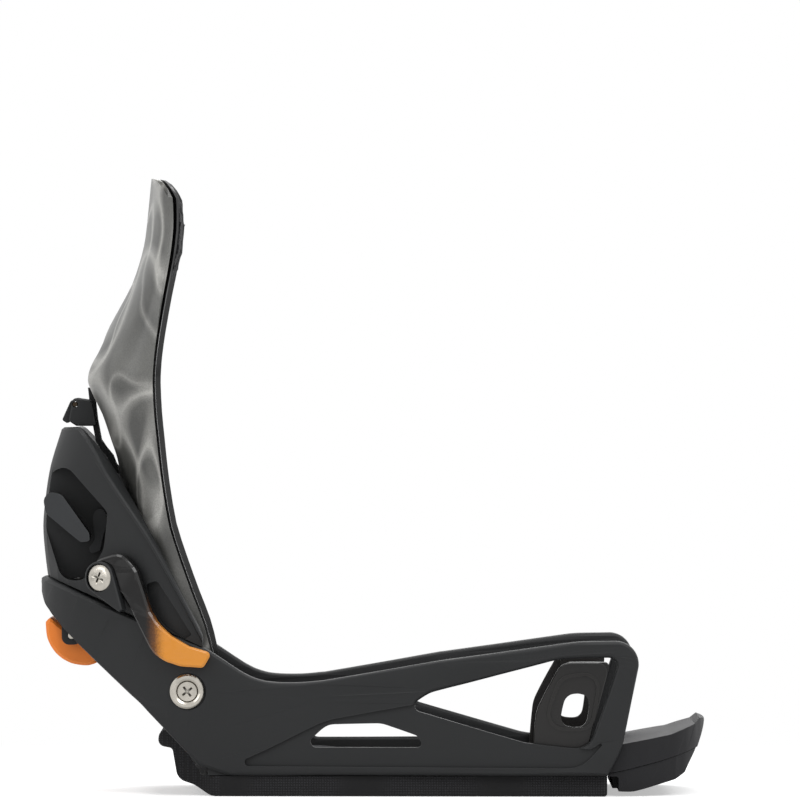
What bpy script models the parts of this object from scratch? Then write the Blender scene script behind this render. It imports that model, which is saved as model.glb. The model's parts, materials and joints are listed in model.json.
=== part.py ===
"""Step-in snowboard binding for the right foot.

A glass-filled nylon baseplate with two windowed side rails and a raised heel hoop carries a heel housing
with the spring-loaded latch, two toe hooks, a folding highback with its forward-lean stop, a release lever
on the outer side, a flip lever under the heel, a sliding toe ramp and the round stance disc.

Frame: metres, +X towards the toe, +Y towards the inner side of the foot, +Z up, the board's top at Z = 0.
The stance disc's axis is the Z axis.
"""

import math

import bmesh
import bpy
import numpy as np
from mathutils import Matrix, Vector

MM = 0.001
GAP = 0.3 * MM  # seat gap between pieces that touch
RUN = 0.35 * MM  # radial clearance of a pin in its bore

# Plan of the hoop and the rails
HOOP_REAR_X = -162.6 * MM
HOOP_SIDE_X = -84.0 * MM
HEEL_HALF_WIDTH = 55.0 * MM
TOE_HALF_WIDTH = 62.0 * MM
RAIL_TOE_X = 116.6 * MM
HOOP_POWER = 1.8

# Baseplate
FLOOR_BOTTOM = 9.7 * MM
FLOOR_THICK = 4.0 * MM
FLOOR_REAR_X = -84.0 * MM
RAIL_FOOT_X = 100.0 * MM
RAIL_THICK = 5.6 * MM
HOOP_EXTRA = 3.4 * MM
RAIL_TOP = 71.4 * MM
WAIST_TOP = 52.4 * MM
SEAM_FRONT_Z = 66.8 * MM
SEAM_SLOPE = -0.4177
SEAM_SIDE_X = -82.3 * MM
EDGE_ROUND = 1.2 * MM
RECESS_DEPTH = 1.5 * MM

# Heel housing
HOUSING_INSET = 0.6 * MM
HOUSING_TOP = 169.5 * MM
HOUSING_WALL = 4.2 * MM
HOUSING_BULGE_Z = 122.0 * MM
WEB_HALF = 9.0 * MM
LATCH_SLOT_HALF = 6.0 * MM
INNER_POWER = 2.8
RIDGE_PROUD = 1.2 * MM
RIDGE_BAND = 3.6 * MM
RIDGE_START_X = -132.0 * MM

# Highback
PIVOT = Vector((-93.4 * MM, 0.0, 48.3 * MM))
SHELL_THICK = 2.6 * MM
CORE_THICK = 1.4 * MM
CORE_PROUD = 1.1 * MM
CORE_GAP = 0.95 * MM  # room for the glue film between the shell and its core
HIGHBACK_TOP = 285.2 * MM
EAR_RADIUS = 13.0 * MM
EAR_PLAY = 1.3 * MM
TRACK_HALF = 15.0 * MM
TRACK_DEPTH = 5.0 * MM
PAD_THICK = 6.5 * MM
TOP_DROP = 9.0 * MM  # how far the top edge falls towards its corners

# Bolts
BOLT_RADIUS = 3.0 * MM
WASHER_RADIUS = 8.0 * MM

# Lean stop
LEAN_SLOPE = -0.145
LEAN_BLOCK_HALF = 13.0 * MM
LEAN_RAIL_HALF = 6.0 * MM
LEAN_RAIL_THICK = 2.6 * MM
LEAN_LEVER_AXIS = Vector((-146.6 * MM, 0.0, HOUSING_TOP + 10.8 * MM))

# Latch
CLAW_AXIS = Vector((-134.4 * MM, 0.0, 127.4 * MM))
TOGGLE_AXIS = Vector((-156.4 * MM, 0.0, 134.3 * MM))
CLAW_SHAFT_RADIUS = 2.4 * MM
TOGGLE_SHAFT_RADIUS = 1.6 * MM

# Release lever
LEVER_X = -130.5 * MM
LEVER_Z = 100.5 * MM
LEVER_CLEAR = 0.8 * MM
LEVER_THICK = 5.0 * MM
HUB_RADIUS = 7.6 * MM

# Rear lever
REAR_LEVER_AXIS = Vector((-148.0 * MM, 0.0, 73.0 * MM))
REAR_LEVER_HALF = 18.0 * MM
REAR_PIN_RADIUS = 1.5 * MM
LUG_THICK = 4.0 * MM

# Stance disc
DISC_RADIUS = 50.0 * MM
DISC_BOSS_RADIUS = DISC_RADIUS - 5.5 * MM
TEETH = 36
TOOTH_ROOT = DISC_RADIUS - 3.8 * MM
TOOTH_TIP = DISC_RADIUS - 2.2 * MM
TOOTH_PLAY = 0.3 * MM
DISC_SLOT_PITCH = 40.0 * MM
DISC_SLOT_LENGTH = 18.0 * MM
DISC_SCREW_RADIUS = 3.0 * MM
BED_THICK = 5.5 * MM

# Toe ramp
RAMP_REAR_X = 94.5 * MM
RAMP_NOSE_X = 146.3 * MM
RAMP_PLAY = 0.35 * MM

HOOK_PLAY = 1.2 * MM

PARTS = "step_in_binding"
CUTTERS = "cutters"
SIDES = (("right", -1), ("left", 1))
UPPER_START = 200 * MM
UPPER_SPAN = 85.2 * MM  # the height that the highback's upper stations were drawn for


def raised(z):
    """A height on the highback: above UPPER_START it keeps its share of the way to the top edge."""
    if z <= UPPER_START:
        return z
    return UPPER_START + (z - UPPER_START) * (HIGHBACK_TOP - UPPER_START) / UPPER_SPAN


# ---------------------------------------------------------------- scene and materials


def clear_scene():
    for obj in list(bpy.data.objects):
        bpy.data.objects.remove(obj, do_unlink=True)
    for name in (PARTS, CUTTERS):
        bpy.context.scene.collection.children.link(bpy.data.collections.new(name))


def linear(channel):
    return channel / 12.92 if channel <= 0.04045 else ((channel + 0.055) / 1.055) ** 2.4


def material(name, colour, roughness, metallic=0.0):
    """A Principled material from an sRGB hex colour."""
    made = bpy.data.materials.get(name) or bpy.data.materials.new(name)
    made.use_nodes = True
    shader = made.node_tree.nodes["Principled BSDF"]
    rgb = [linear(int(colour[i : i + 2], 16) / 255) for i in (0, 2, 4)]
    shader.inputs["Base Color"].default_value = (*rgb, 1.0)
    shader.inputs["Roughness"].default_value = roughness
    shader.inputs["Metallic"].default_value = metallic
    made.diffuse_color = (*rgb, 1.0)
    return made


def joint_empty(name, origin):
    """An empty on a joint's axis, the parent of the pieces that move with it."""
    empty = bpy.data.objects.new(name, None)
    empty.location = origin
    bpy.data.collections[PARTS].objects.link(empty)
    bpy.context.view_layer.update()
    return empty


def finish(obj, look, parent=None):
    """Files a finished piece under the parts with its material, and hangs it on its joint's empty."""
    for holder in list(obj.users_collection):
        holder.objects.unlink(obj)
    bpy.data.collections[PARTS].objects.link(obj)
    obj.data.materials.clear()
    obj.data.materials.append(look)
    if parent is not None:
        obj.parent = parent
        obj.matrix_parent_inverse = parent.matrix_world.inverted()
    return obj


# ---------------------------------------------------------------- outlines and basic solids


def rounded(corners, step=20.0, closed=True):
    """An outline through corners (x, z, radius), each corner turned by an arc of that radius."""
    points = []
    count = len(corners)
    for i, (x, z, radius) in enumerate(corners):
        here = Vector((x, z))
        if radius <= 0 or (not closed and i in (0, count - 1)):
            points.append(here)
            continue
        back = Vector(corners[i - 1][:2]) - here
        ahead = Vector(corners[(i + 1) % count][:2]) - here
        turn = math.pi - back.angle(ahead)
        if turn < 0.02:
            points.append(here)
            continue
        reach = min(radius * math.tan(turn / 2), 0.48 * back.length, 0.48 * ahead.length)
        true_radius = reach / math.tan(turn / 2)
        start = here + back.normalized() * reach
        middle = here + (back.normalized() + ahead.normalized()).normalized() * (true_radius / math.cos(turn / 2))
        sign = 1.0 if back.cross(ahead) < 0 else -1.0
        steps = max(1, math.ceil(math.degrees(turn) / step))
        arm = start - middle
        for k in range(steps + 1):
            angle = sign * turn * k / steps
            spun = Matrix.Rotation(angle, 2) @ arm
            points.append(middle + spun)
    return points


def ring(radius, count, centre=(0.0, 0.0), phase=0.0):
    """Points evenly round a circle."""
    return [
        Vector((centre[0] + radius * math.cos(phase + math.tau * k / count),
                centre[1] + radius * math.sin(phase + math.tau * k / count)))
        for k in range(count)
    ]


def smooth_line(points):
    """A function x -> z that runs smoothly through a few points, without overshoot between them."""
    xs = np.array([p[0] for p in points])
    zs = np.array([p[1] for p in points])
    widths = np.diff(xs)
    slopes = np.diff(zs) / widths
    tangents = np.zeros(len(xs))
    tangents[0], tangents[-1] = slopes[0], slopes[-1]
    for i in range(1, len(xs) - 1):
        if slopes[i - 1] * slopes[i] > 0:
            w1 = 2 * widths[i] + widths[i - 1]
            w2 = widths[i] + 2 * widths[i - 1]
            tangents[i] = (w1 + w2) / (w1 / slopes[i - 1] + w2 / slopes[i])

    def value(x):
        x = float(x)
        i = int(np.clip(np.searchsorted(xs, x) - 1, 0, len(widths) - 1))
        t = min(max((x - xs[i]) / widths[i], 0.0), 1.0)
        beyond = x - min(max(x, xs[0]), xs[-1])
        h00, h10 = (1 + 2 * t) * (1 - t) ** 2, t * (1 - t) ** 2
        h01, h11 = t * t * (3 - 2 * t), t * t * (t - 1)
        inside = h00 * zs[i] + h10 * widths[i] * tangents[i] + h01 * zs[i + 1] + h11 * widths[i] * tangents[i + 1]
        return inside + beyond * (tangents[0] if beyond < 0 else tangents[-1])

    return value


def ease(x, low, high):
    """0 below low, 1 above high, and a smooth step between."""
    t = min(max((x - low) / (high - low), 0.0), 1.0)
    return t * t * (3 - 2 * t)


def object_of(mesh, name, bucket=PARTS):
    obj = bpy.data.objects.new(name, mesh)
    bpy.data.collections[bucket].objects.link(obj)
    return obj


def as_mesh(curve_obj, name):
    """The curve object's evaluated shape as a welded mesh object, with the curve removed."""
    bpy.context.view_layer.update()
    depsgraph = bpy.context.evaluated_depsgraph_get()
    mesh = bpy.data.meshes.new_from_object(curve_obj.evaluated_get(depsgraph))
    matrix = curve_obj.matrix_world.copy()
    bpy.data.objects.remove(curve_obj, do_unlink=True)
    bm = bmesh.new()
    bm.from_mesh(mesh)
    bmesh.ops.remove_doubles(bm, verts=bm.verts, dist=0.00001)
    bmesh.ops.recalc_face_normals(bm, faces=bm.faces)
    bm.to_mesh(mesh)
    bm.free()
    mesh.name = name
    obj = object_of(mesh, name)
    obj.matrix_world = matrix
    return obj


def flat_solid(name, outline, depth, holes=(), edge=0.0, edge_steps=0):
    """A flat outline in the local XY plane, filled and extruded by depth about it, its rims rounded by edge."""
    curve = bpy.data.curves.new(name, "CURVE")
    curve.dimensions = "2D"
    curve.fill_mode = "BOTH"
    curve.extrude = depth / 2 - edge
    curve.bevel_depth = edge
    curve.bevel_resolution = edge_steps
    curve.offset = -edge
    for loop in (outline, *holes):
        spline = curve.splines.new("POLY")
        spline.points.add(len(loop) - 1)
        for point, place in zip(spline.points, loop):
            point.co = (place[0], place[1], 0.0, 1.0)
        spline.use_cyclic_u = True
    obj = bpy.data.objects.new(name, curve)
    bpy.data.collections[PARTS].objects.link(obj)
    return as_mesh(obj, name)


def move_mesh(obj, matrix):
    obj.data.transform(matrix)
    obj.data.update()
    return obj


UPRIGHT = Matrix(((1, 0, 0, 0), (0, 0, -1, 0), (0, 1, 0, 0), (0, 0, 0, 1)))


def side_solid(name, outline, y_low, y_high, holes=(), edge=0.0, edge_steps=0):
    """A side-view outline (x, z), extruded across the binding from y_low to y_high."""
    obj = flat_solid(name, outline, y_high - y_low, holes, edge, edge_steps)
    return move_mesh(obj, Matrix.Translation((0, (y_low + y_high) / 2, 0)) @ UPRIGHT)


def plan_solid(name, outline, z_low, z_high, holes=(), edge=0.0, edge_steps=0):
    """A plan outline (x, y), extruded upwards from z_low to z_high."""
    obj = flat_solid(name, outline, z_high - z_low, holes, edge, edge_steps)
    return move_mesh(obj, Matrix.Translation((0, 0, (z_low + z_high) / 2)))


def turned(name, profile, steps=20):
    """A profile (radius, height) from its top down its outer side, turned about Z with a Screw modifier."""
    mesh = bpy.data.meshes.new(name)
    mesh.from_pydata([(r, 0.0, h) for r, h in profile], [(i, i + 1) for i in range(len(profile) - 1)], [])
    obj = object_of(mesh, name)
    screw = obj.modifiers.new("turn", "SCREW")
    screw.steps = screw.render_steps = steps
    screw.use_merge_vertices = True
    screw.merge_threshold = 0.00001
    screw.use_smooth_shade = True
    return obj


def frozen(obj):
    """The same object with its modifiers applied to its mesh."""
    bpy.context.view_layer.update()
    depsgraph = bpy.context.evaluated_depsgraph_get()
    mesh = bpy.data.meshes.new_from_object(obj.evaluated_get(depsgraph))
    obj.modifiers.clear()
    obj.data = mesh
    return obj


def placed(obj, origin, axis=Vector((0, 0, 1))):
    """Stands a turned piece at its place, with its own Z along axis."""
    obj.location = origin
    obj.rotation_mode = "QUATERNION"
    obj.rotation_quaternion = Vector((0, 0, 1)).rotation_difference(Vector(axis))
    return obj


def loft(name, rings, closed_ends=True):
    """A closed skin through rings of the same number of points."""
    bm = bmesh.new()
    grid = [[bm.verts.new(point) for point in ring_points] for ring_points in rings]
    count = len(grid[0])
    for first, second in zip(grid, grid[1:]):
        for j in range(count):
            k = (j + 1) % count
            bm.faces.new((first[j], first[k], second[k], second[j]))
    if closed_ends:
        bm.faces.new(reversed(grid[0]))
        bm.faces.new(grid[-1])
    bmesh.ops.recalc_face_normals(bm, faces=bm.faces)
    mesh = bpy.data.meshes.new(name)
    bm.to_mesh(mesh)
    bm.free()
    return object_of(mesh, name)


def cutter(obj):
    """Files a solid under the cutters, where it is neither rendered nor built."""
    for holder in list(obj.users_collection):
        holder.objects.unlink(obj)
    bpy.data.collections[CUTTERS].objects.link(obj)
    obj.hide_render = True
    obj.display_type = "WIRE"
    return obj


def combine(obj, tool, operation):
    step = obj.modifiers.new(tool.name, "BOOLEAN")
    step.operation = operation
    step.solver = "EXACT"
    step.object = cutter(tool)
    return obj


def cut(obj, tool):
    return combine(obj, tool, "DIFFERENCE")


def join(obj, tool):
    return combine(obj, tool, "UNION")


def keep(obj, tool):
    return combine(obj, tool, "INTERSECT")


def rod(name, start, end, radius, sides=16):
    """A plain round bar between two points."""
    start, end = Vector(start), Vector(end)
    bm = bmesh.new()
    bmesh.ops.create_cone(
        bm, cap_ends=True, segments=sides, radius1=radius, radius2=radius, depth=(end - start).length
    )
    mesh = bpy.data.meshes.new(name)
    bm.to_mesh(mesh)
    bm.free()
    turn = Vector((0, 0, 1)).rotation_difference(end - start).to_matrix().to_4x4()
    obj = object_of(mesh, name)
    return move_mesh(obj, Matrix.Translation((start + end) / 2) @ turn)


def cross_recess(name, face, axis, size, depth):
    """The cutter for a screwdriver's cross: four tapered wings that go down from a face, against its axis."""
    axis = Vector(axis).normalized()
    frame = Vector((0, 0, 1)).rotation_difference(axis).to_matrix() @ Matrix.Rotation(math.radians(38), 3, "Z")
    rings = []
    for level, share in ((-depth, 0.55), (1 * MM, 1.0 + 0.45 * MM / depth)):
        reach, half = size * share, 0.17 * size * (0.6 + 0.4 * share)
        ring_points = []
        for quarter in range(4):
            turn = Matrix.Rotation(math.radians(90 * quarter), 3, "Z")
            for x, y in ((half, half), (half, reach), (-half, reach)):
                ring_points.append(Vector(face) + frame @ (turn @ Vector((x, y, level))))
        rings.append(ring_points)
    return loft(name, rings)


def block(name, low, high):
    """A plain box between two corners."""
    low, high = Vector(low), Vector(high)
    bm = bmesh.new()
    bmesh.ops.create_cube(bm, size=1.0)
    mesh = bpy.data.meshes.new(name)
    bm.to_mesh(mesh)
    bm.free()
    size = high - low
    obj = object_of(mesh, name)
    return move_mesh(obj, Matrix.Translation((low + high) / 2) @ Matrix.Diagonal((*size, 1.0)))


# ---------------------------------------------------------------- the hoop's path in plan


class HoopPath:
    """The outer plan line: a superellipse round the heel that runs on as the flaring side rails.

    Its measure s is the length along it from the middle of the heel, positive on the outer side (-Y).
    """

    def __init__(self, rear_x, half_width, samples=90):
        depth = HOOP_SIDE_X - rear_x
        power = 2.0 / HOOP_POWER
        xs, ys = [], []
        for k in range(samples + 1):
            angle = 0.5 * math.pi * k / samples
            xs.append(HOOP_SIDE_X - depth * max(math.cos(angle), 0.0) ** power)
            ys.append(half_width * math.sin(angle) ** power)
        flare = TOE_HALF_WIDTH - HEEL_HALF_WIDTH
        for k in range(1, samples + 1):
            t = k / samples
            xs.append(HOOP_SIDE_X + (RAIL_TOE_X + 10 * MM - HOOP_SIDE_X) * t)
            ys.append(half_width + flare * ease(t, 0.0, 1.0))
        self.x, self.y = np.array(xs), np.array(ys)
        self.s = np.concatenate([[0.0], np.cumsum(np.hypot(np.diff(self.x), np.diff(self.y)))])
        self.s_side = float(np.interp(HOOP_SIDE_X, self.x, self.s))

    def s_at(self, x):
        return float(np.interp(x, self.x, self.s))

    def x_at(self, s):
        return float(np.interp(abs(s), self.s, self.x))

    def half_width_at(self, x):
        return float(np.interp(x, self.x, self.y))

    def point(self, s):
        away = abs(s)
        y = float(np.interp(away, self.s, self.y))
        return Vector((self.x_at(s), -math.copysign(y, s), 0.0))

    def normal(self, s):
        reach = 1.0 * MM
        ahead, behind = self.point(s + reach), self.point(s - reach)
        along = (ahead - behind).normalized()
        return Vector((along.y, -along.x, 0.0))

    def bend(self, obj, stations, inner_scale=None):
        """Bends a flat pattern (s, z, outward) round the path, after cutting its faces at the stations."""
        bm = bmesh.new()
        bm.from_mesh(obj.data)
        for s in stations:
            geometry = bm.verts[:] + bm.edges[:] + bm.faces[:]
            bmesh.ops.bisect_plane(bm, geom=geometry, dist=1e-6, plane_co=(s, 0, 0), plane_no=(1, 0, 0))
        for vert in bm.verts:
            s, z, out = vert.co
            if inner_scale is not None and out < 0:
                out *= inner_scale(s)
            vert.co = self.point(s) + self.normal(s) * out + Vector((0, 0, z))
        bm.to_mesh(obj.data)
        bm.free()
        obj.data.update()
        return obj


HOOP = HoopPath(HOOP_REAR_X, HEEL_HALF_WIDTH)


def seam_z(x):
    """Height of the seam between the baseplate's hoop and the heel housing."""
    return SEAM_FRONT_Z + SEAM_SLOPE * (x - SEAM_SIDE_X)


HOOP_UNDERSIDE = smooth_line([
    (HOOP_REAR_X, 91.5 * MM),
    (HOOP_REAR_X + 4.8 * MM, 81.9 * MM),
    (HOOP_REAR_X + 10.2 * MM, 76.0 * MM),
    (HOOP_REAR_X + 26.0 * MM, 61.2 * MM),
    (-109.0 * MM, 36.3 * MM),
    (-92.0 * MM, 17.9 * MM),
    (-84.5 * MM, 12.0 * MM),
    (-73.6 * MM, FLOOR_BOTTOM),
])


# ---------------------------------------------------------------- baseplate


def front_window():
    toe = RAIL_FOOT_X
    top = RAIL_TOP
    return rounded([
        (toe - 92.5 * MM, 40.8 * MM, 3.2 * MM),
        (toe - 38.0 * MM, 24.8 * MM, 26 * MM),
        (toe - 8.6 * MM, 21.6 * MM, 9 * MM),
        (toe + 6.2 * MM, top - 7.0 * MM, 4 * MM),
        (toe - 22.0 * MM, top - 7.8 * MM, 30 * MM),
        (toe - 64.0 * MM, top - 18.8 * MM, 60 * MM),
        (toe - 82.0 * MM, top - 23.4 * MM, 14 * MM),
    ])


def slot_window():
    return rounded([
        (-41.0 * MM, 22.6 * MM, 2.6 * MM),
        (15.6 * MM, 22.6 * MM, 1.8 * MM),
        (12.6 * MM, 28.0 * MM, 3.0 * MM),
        (-4.0 * MM, 33.8 * MM, 14 * MM),
        (-29.0 * MM, 33.2 * MM, 9 * MM),
    ])


def rail_recess():
    """The sunk face under the upper arm: from the slanted crease at the rear to the front upright."""
    toe = RAIL_FOOT_X
    return rounded([
        (-74.0 * MM, 14.0 * MM, 4 * MM),
        (toe - 12.0 * MM, 13.2 * MM, 14 * MM),
        (toe + 0.5 * MM, 27.0 * MM, 8 * MM),
        (toe - 8.0 * MM, 22.0 * MM, 0),
        (toe - 38.0 * MM, 25.2 * MM, 26 * MM),
        (toe - 88.5 * MM, 42.6 * MM, 3 * MM),
        (-30.0 * MM, 35.0 * MM, 24 * MM),
        (-57.0 * MM, 21.6 * MM, 10 * MM),
    ])


def baseplate():
    """The wall is drawn flat, its windows as holes, and bent round the hoop's path; the floor is joined to it."""
    edge_front = rounded([
        (-73.6 * MM, FLOOR_BOTTOM, 0),
        (RAIL_FOOT_X, FLOOR_BOTTOM, 1.5 * MM),
        (RAIL_FOOT_X + 6.4 * MM, 22.0 * MM, 30 * MM),
        (RAIL_TOE_X, RAIL_TOP + 0.4 * MM, 10.5 * MM),
        (RAIL_TOE_X - 30 * MM, RAIL_TOP, 50 * MM),
        (23.0 * MM, 62.6 * MM, 90 * MM),
        (-36.0 * MM, WAIST_TOP, 60 * MM),
        (-61.0 * MM, WAIST_TOP, 34 * MM),
        (HOOP_SIDE_X, seam_z(HOOP_SIDE_X), 0),
    ], step=14.0, closed=False)
    rear_steps = 8
    under = [
        Vector((s, HOOP_UNDERSIDE(HOOP.x_at(s))))
        for s in (HOOP.s_at(-73.6 * MM) * k / rear_steps for k in range(rear_steps))
    ]
    front = [Vector((HOOP.s_at(p.x), p.y)) for p in edge_front]
    over = [
        Vector((s, seam_z(HOOP.x_at(s))))
        for s in (HOOP.s_side * k / rear_steps for k in range(rear_steps - 1, -1, -1))
    ]
    half = under + front + over
    mirrored = [Vector((-p.x, p.y)) for p in reversed(half[1:-1])]
    windows = []
    for window in (front_window(), slot_window()):
        flat = [Vector((HOOP.s_at(p.x), p.y)) for p in window]
        windows.append(flat)
        windows.append([Vector((-p.x, p.y)) for p in reversed(flat)])
    wall = flat_solid("baseplate", half + mirrored, RAIL_THICK, windows, EDGE_ROUND, 0)
    wall.data.transform(Matrix.Translation((0, 0, -RAIL_THICK / 2)))
    bends = [HOOP.s_side * k / 11 for k in range(-11, 12)]
    along = HOOP.s_at(RAIL_TOE_X) - HOOP.s_side
    bends += [side * (HOOP.s_side + along * k / 4) for k in range(1, 5) for side in (-1, 1)]
    thicker = 1 + HOOP_EXTRA / RAIL_THICK
    HOOP.bend(wall, bends, lambda s: 1 + (thicker - 1) * (1 - ease(abs(s), 0.35 * HOOP.s_side, 0.75 * HOOP.s_side)))
    join(wall, floor_slab())
    for side in (-1, 1):
        recess = side_solid("rail_recess", rail_recess(), 0, 30 * MM, edge=0)
        reach = HOOP.half_width_at(0.0) - RECESS_DEPTH
        skew = (HOOP.half_width_at(60 * MM) - HOOP.half_width_at(-60 * MM)) / (120 * MM)
        for vert in recess.data.vertices:
            vert.co.y += reach + skew * vert.co.x
        if side < 0:
            recess.data.transform(Matrix.Diagonal((1, -1, 1, 1)))
            recess.data.flip_normals()
        cut(wall, recess)
        seat = HEEL_HALF_WIDTH * side
        inner = HEEL_HALF_WIDTH - RAIL_THICK - EAR_PLAY + 0.4 * MM
        cut(wall, rod("ear_relief", PIVOT + Vector((0, side * 30 * MM, 0)), PIVOT + Vector((0, side * inner, 0)),
                      EAR_RADIUS + 1.0 * MM, 28))
        cut(wall, rod("washer_seat", PIVOT + Vector((0, seat - side * 1.5 * MM, 0)),
                      PIVOT + Vector((0, seat + side * 8 * MM, 0)), WASHER_RADIUS + 0.8 * MM, 28))
        cut(wall, rod("bolt_bore", PIVOT + Vector((0, seat - side * 12 * MM, 0)),
                      PIVOT + Vector((0, seat + side * 4 * MM, 0)), BOLT_RADIUS + 0.5 * MM, 16))
        join(wall, rear_lug(side))
    return finish(wall, material("nylon_black", "2E2F31", 0.62))


def tooth_ring(tip, root):
    """Plan outline of radial teeth, a tip and a root to each."""
    points = []
    for k in range(TEETH):
        for part, radius in ((0.0, tip), (0.5, root)):
            angle = math.tau * (k + part) / TEETH
            points.append(Vector((radius * math.cos(angle), radius * math.sin(angle))))
    return points


def floor_slab():
    """The floor between the rails, with the toothed hole for the stance disc."""
    inside = 2.6 * MM
    rear, front = FLOOR_REAR_X, RAIL_FOOT_X - 1.5 * MM
    right = [
        Vector((rear + (front - rear) * k / 6, -(HOOP.half_width_at(rear + (front - rear) * k / 6) - inside)))
        for k in range(7)
    ]
    outline = right + [Vector((p.x, -p.y)) for p in reversed(right)]
    hole = tooth_ring(TOOTH_TIP + TOOTH_PLAY, TOOTH_ROOT + TOOTH_PLAY)
    return plan_solid("floor_slab", outline, FLOOR_BOTTOM, FLOOR_BOTTOM + FLOOR_THICK, [hole])


def rear_lug(side):
    """A lug that hangs under the hoop and carries one end of the rear lever's pin."""
    axis = REAR_LEVER_AXIS
    near = REAR_LEVER_HALF + 0.5 * MM
    outline = rounded([
        (axis.x - 4.4 * MM, axis.z - 4.2 * MM, 3.4 * MM),
        (axis.x + 4.4 * MM, axis.z - 4.2 * MM, 3.4 * MM),
        (axis.x + 6.0 * MM, axis.z + 14 * MM, 0),
        (axis.x - 4.4 * MM, axis.z + 14 * MM, 0),
    ])
    low, high = sorted((side * near, side * (near + LUG_THICK)))
    bore = ring(REAR_PIN_RADIUS + RUN, 12, (axis.x, axis.z))
    return side_solid("rear_lug", outline, low, high, [bore])


# ---------------------------------------------------------------- heel housing

HOUSING_REAR = smooth_line([
    (80 * MM, HOOP_REAR_X + 5.5 * MM),
    (100.3 * MM, HOOP_REAR_X + 3.0 * MM),
    (HOUSING_BULGE_Z, HOOP_REAR_X + 0.7 * MM),
    (148.6 * MM, HOOP_REAR_X + 3.6 * MM),
    (HOUSING_TOP, HOOP_REAR_X + 9.6 * MM),
])
HOUSING_FRONT = smooth_line([
    (60 * MM, -124.5 * MM),
    (100 * MM, -126.5 * MM),
    (130 * MM, -129.0 * MM),
    (150 * MM, -134.5 * MM),
    (HOUSING_TOP, -144.6 * MM),
])
RIDGE_LINE = smooth_line([
    (-144.0 * MM, HOUSING_TOP),
    (-128.8 * MM, 146.3 * MM),
    (-110.0 * MM, 118.2 * MM),
    (-98.0 * MM, 96.6 * MM),
    (-84.0 * MM, 69.5 * MM),
])


def ellipse_point(angle, rear_x, half_width, shape=HOOP_POWER):
    """A plan point on the superellipse with its rear at rear_x, seen from its centre at an angle off straight back."""
    back, aside = math.cos(angle), math.sin(angle)
    sum_of_powers = (back / (HOOP_SIDE_X - rear_x)) ** shape + (abs(aside) / half_width) ** shape
    radius = sum_of_powers ** (-1.0 / shape)
    return HOOP_SIDE_X - radius * back, -radius * aside


def housing_bulk(name, inset, low=95 * MM, rows=8):
    """The solid within the housing's outer face, moved in by inset: it trims what must follow that face."""
    half_width = HEEL_HALF_WIDTH - HOUSING_INSET - inset
    rings = []
    for k in range(rows):
        z = low + k * 9 * MM
        plan = [ellipse_point(math.radians(a), HOUSING_REAR(z) + inset, half_width) for a in range(-85, 86, 5)]
        rings.append([(x, y, z) for x, y in plan])
    return loft(name, rings)


def housing_skin(name, inset=0.0):
    """The housing's body as a loft of vertical sections round the heel."""
    half_width = HEEL_HALF_WIDTH - HOUSING_INSET - inset
    end = math.radians(87.5)
    stations = 26
    rings = []
    for k in range(-stations // 2, stations // 2 + 1):
        angle = end * k / (stations / 2)
        outer, inner = [], []
        bottom_x, _ = ellipse_point(angle, HOOP_REAR_X, HEEL_HALF_WIDTH)
        low = seam_z(bottom_x) - 5.0 * MM
        high = HOUSING_TOP
        for _ in range(30):
            x, _y = ellipse_point(angle, HOUSING_REAR(high) + inset, half_width)
            high = 0.5 * high + 0.5 * min(HOUSING_TOP, RIDGE_LINE(x))
        high = max(high - inset, low + 3.0 * MM)
        tall = high - low
        band = min(RIDGE_BAND, 0.45 * tall)
        lip = min(1.0 * MM, 0.2 * tall)
        x, _y = ellipse_point(angle, HOUSING_REAR(high) + inset, half_width)
        proud = RIDGE_PROUD * ease(x, RIDGE_START_X - 1.5 * MM, RIDGE_START_X + 1.5 * MM)
        heights = [low] + [low + (tall - band) * f for f in (0.2, 0.4, 0.6, 0.8, 1.0)]
        for z in heights:
            outer.append((*ellipse_point(angle, HOUSING_REAR(z) + inset, half_width), z))
        for z, push in ((high - band + lip, proud), (high - lip, proud), (high, proud - lip)):
            outer.append((*ellipse_point(angle, HOUSING_REAR(z) + inset - push, half_width + push), z))
        wall = HOUSING_WALL
        for z in [high, high - lip] + list(reversed(heights[:-1])):
            push = lip if z == high else 0.0
            inner.append((*ellipse_point(angle, HOUSING_FRONT(z) - push, half_width - wall + push, INNER_POWER), z))
        rings.append(outer + inner)
    return loft(name, rings)


POCKET = [
    (-161.8 * MM, 127.0 * MM, 30 * MM),
    (-157.6 * MM, 149.0 * MM, 5 * MM),
    (-150.0 * MM, 151.8 * MM, 8 * MM),
    (-130.4 * MM, 130.6 * MM, 5 * MM),
    (-132.4 * MM, 113.0 * MM, 14 * MM),
    (-141.5 * MM, 98.6 * MM, 7 * MM),
    (-152.5 * MM, 98.8 * MM, 9 * MM),
]


HOLLOW_DEPTH = 2.8 * MM
HOUSING_HOLLOW = [
    (-112.6 * MM, 97.6 * MM, 1.5 * MM),
    (-107.4 * MM, 99.4 * MM, 2.0 * MM),
    (-98.6 * MM, 86.0 * MM, 20 * MM),
    (-91.2 * MM, 74.4 * MM, 1.0 * MM),
    (-95.0 * MM, 72.0 * MM, 1.0 * MM),
    (-104.6 * MM, 79.0 * MM, 8 * MM),
    (-110.4 * MM, 88.0 * MM, 8 * MM),
]


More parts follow.
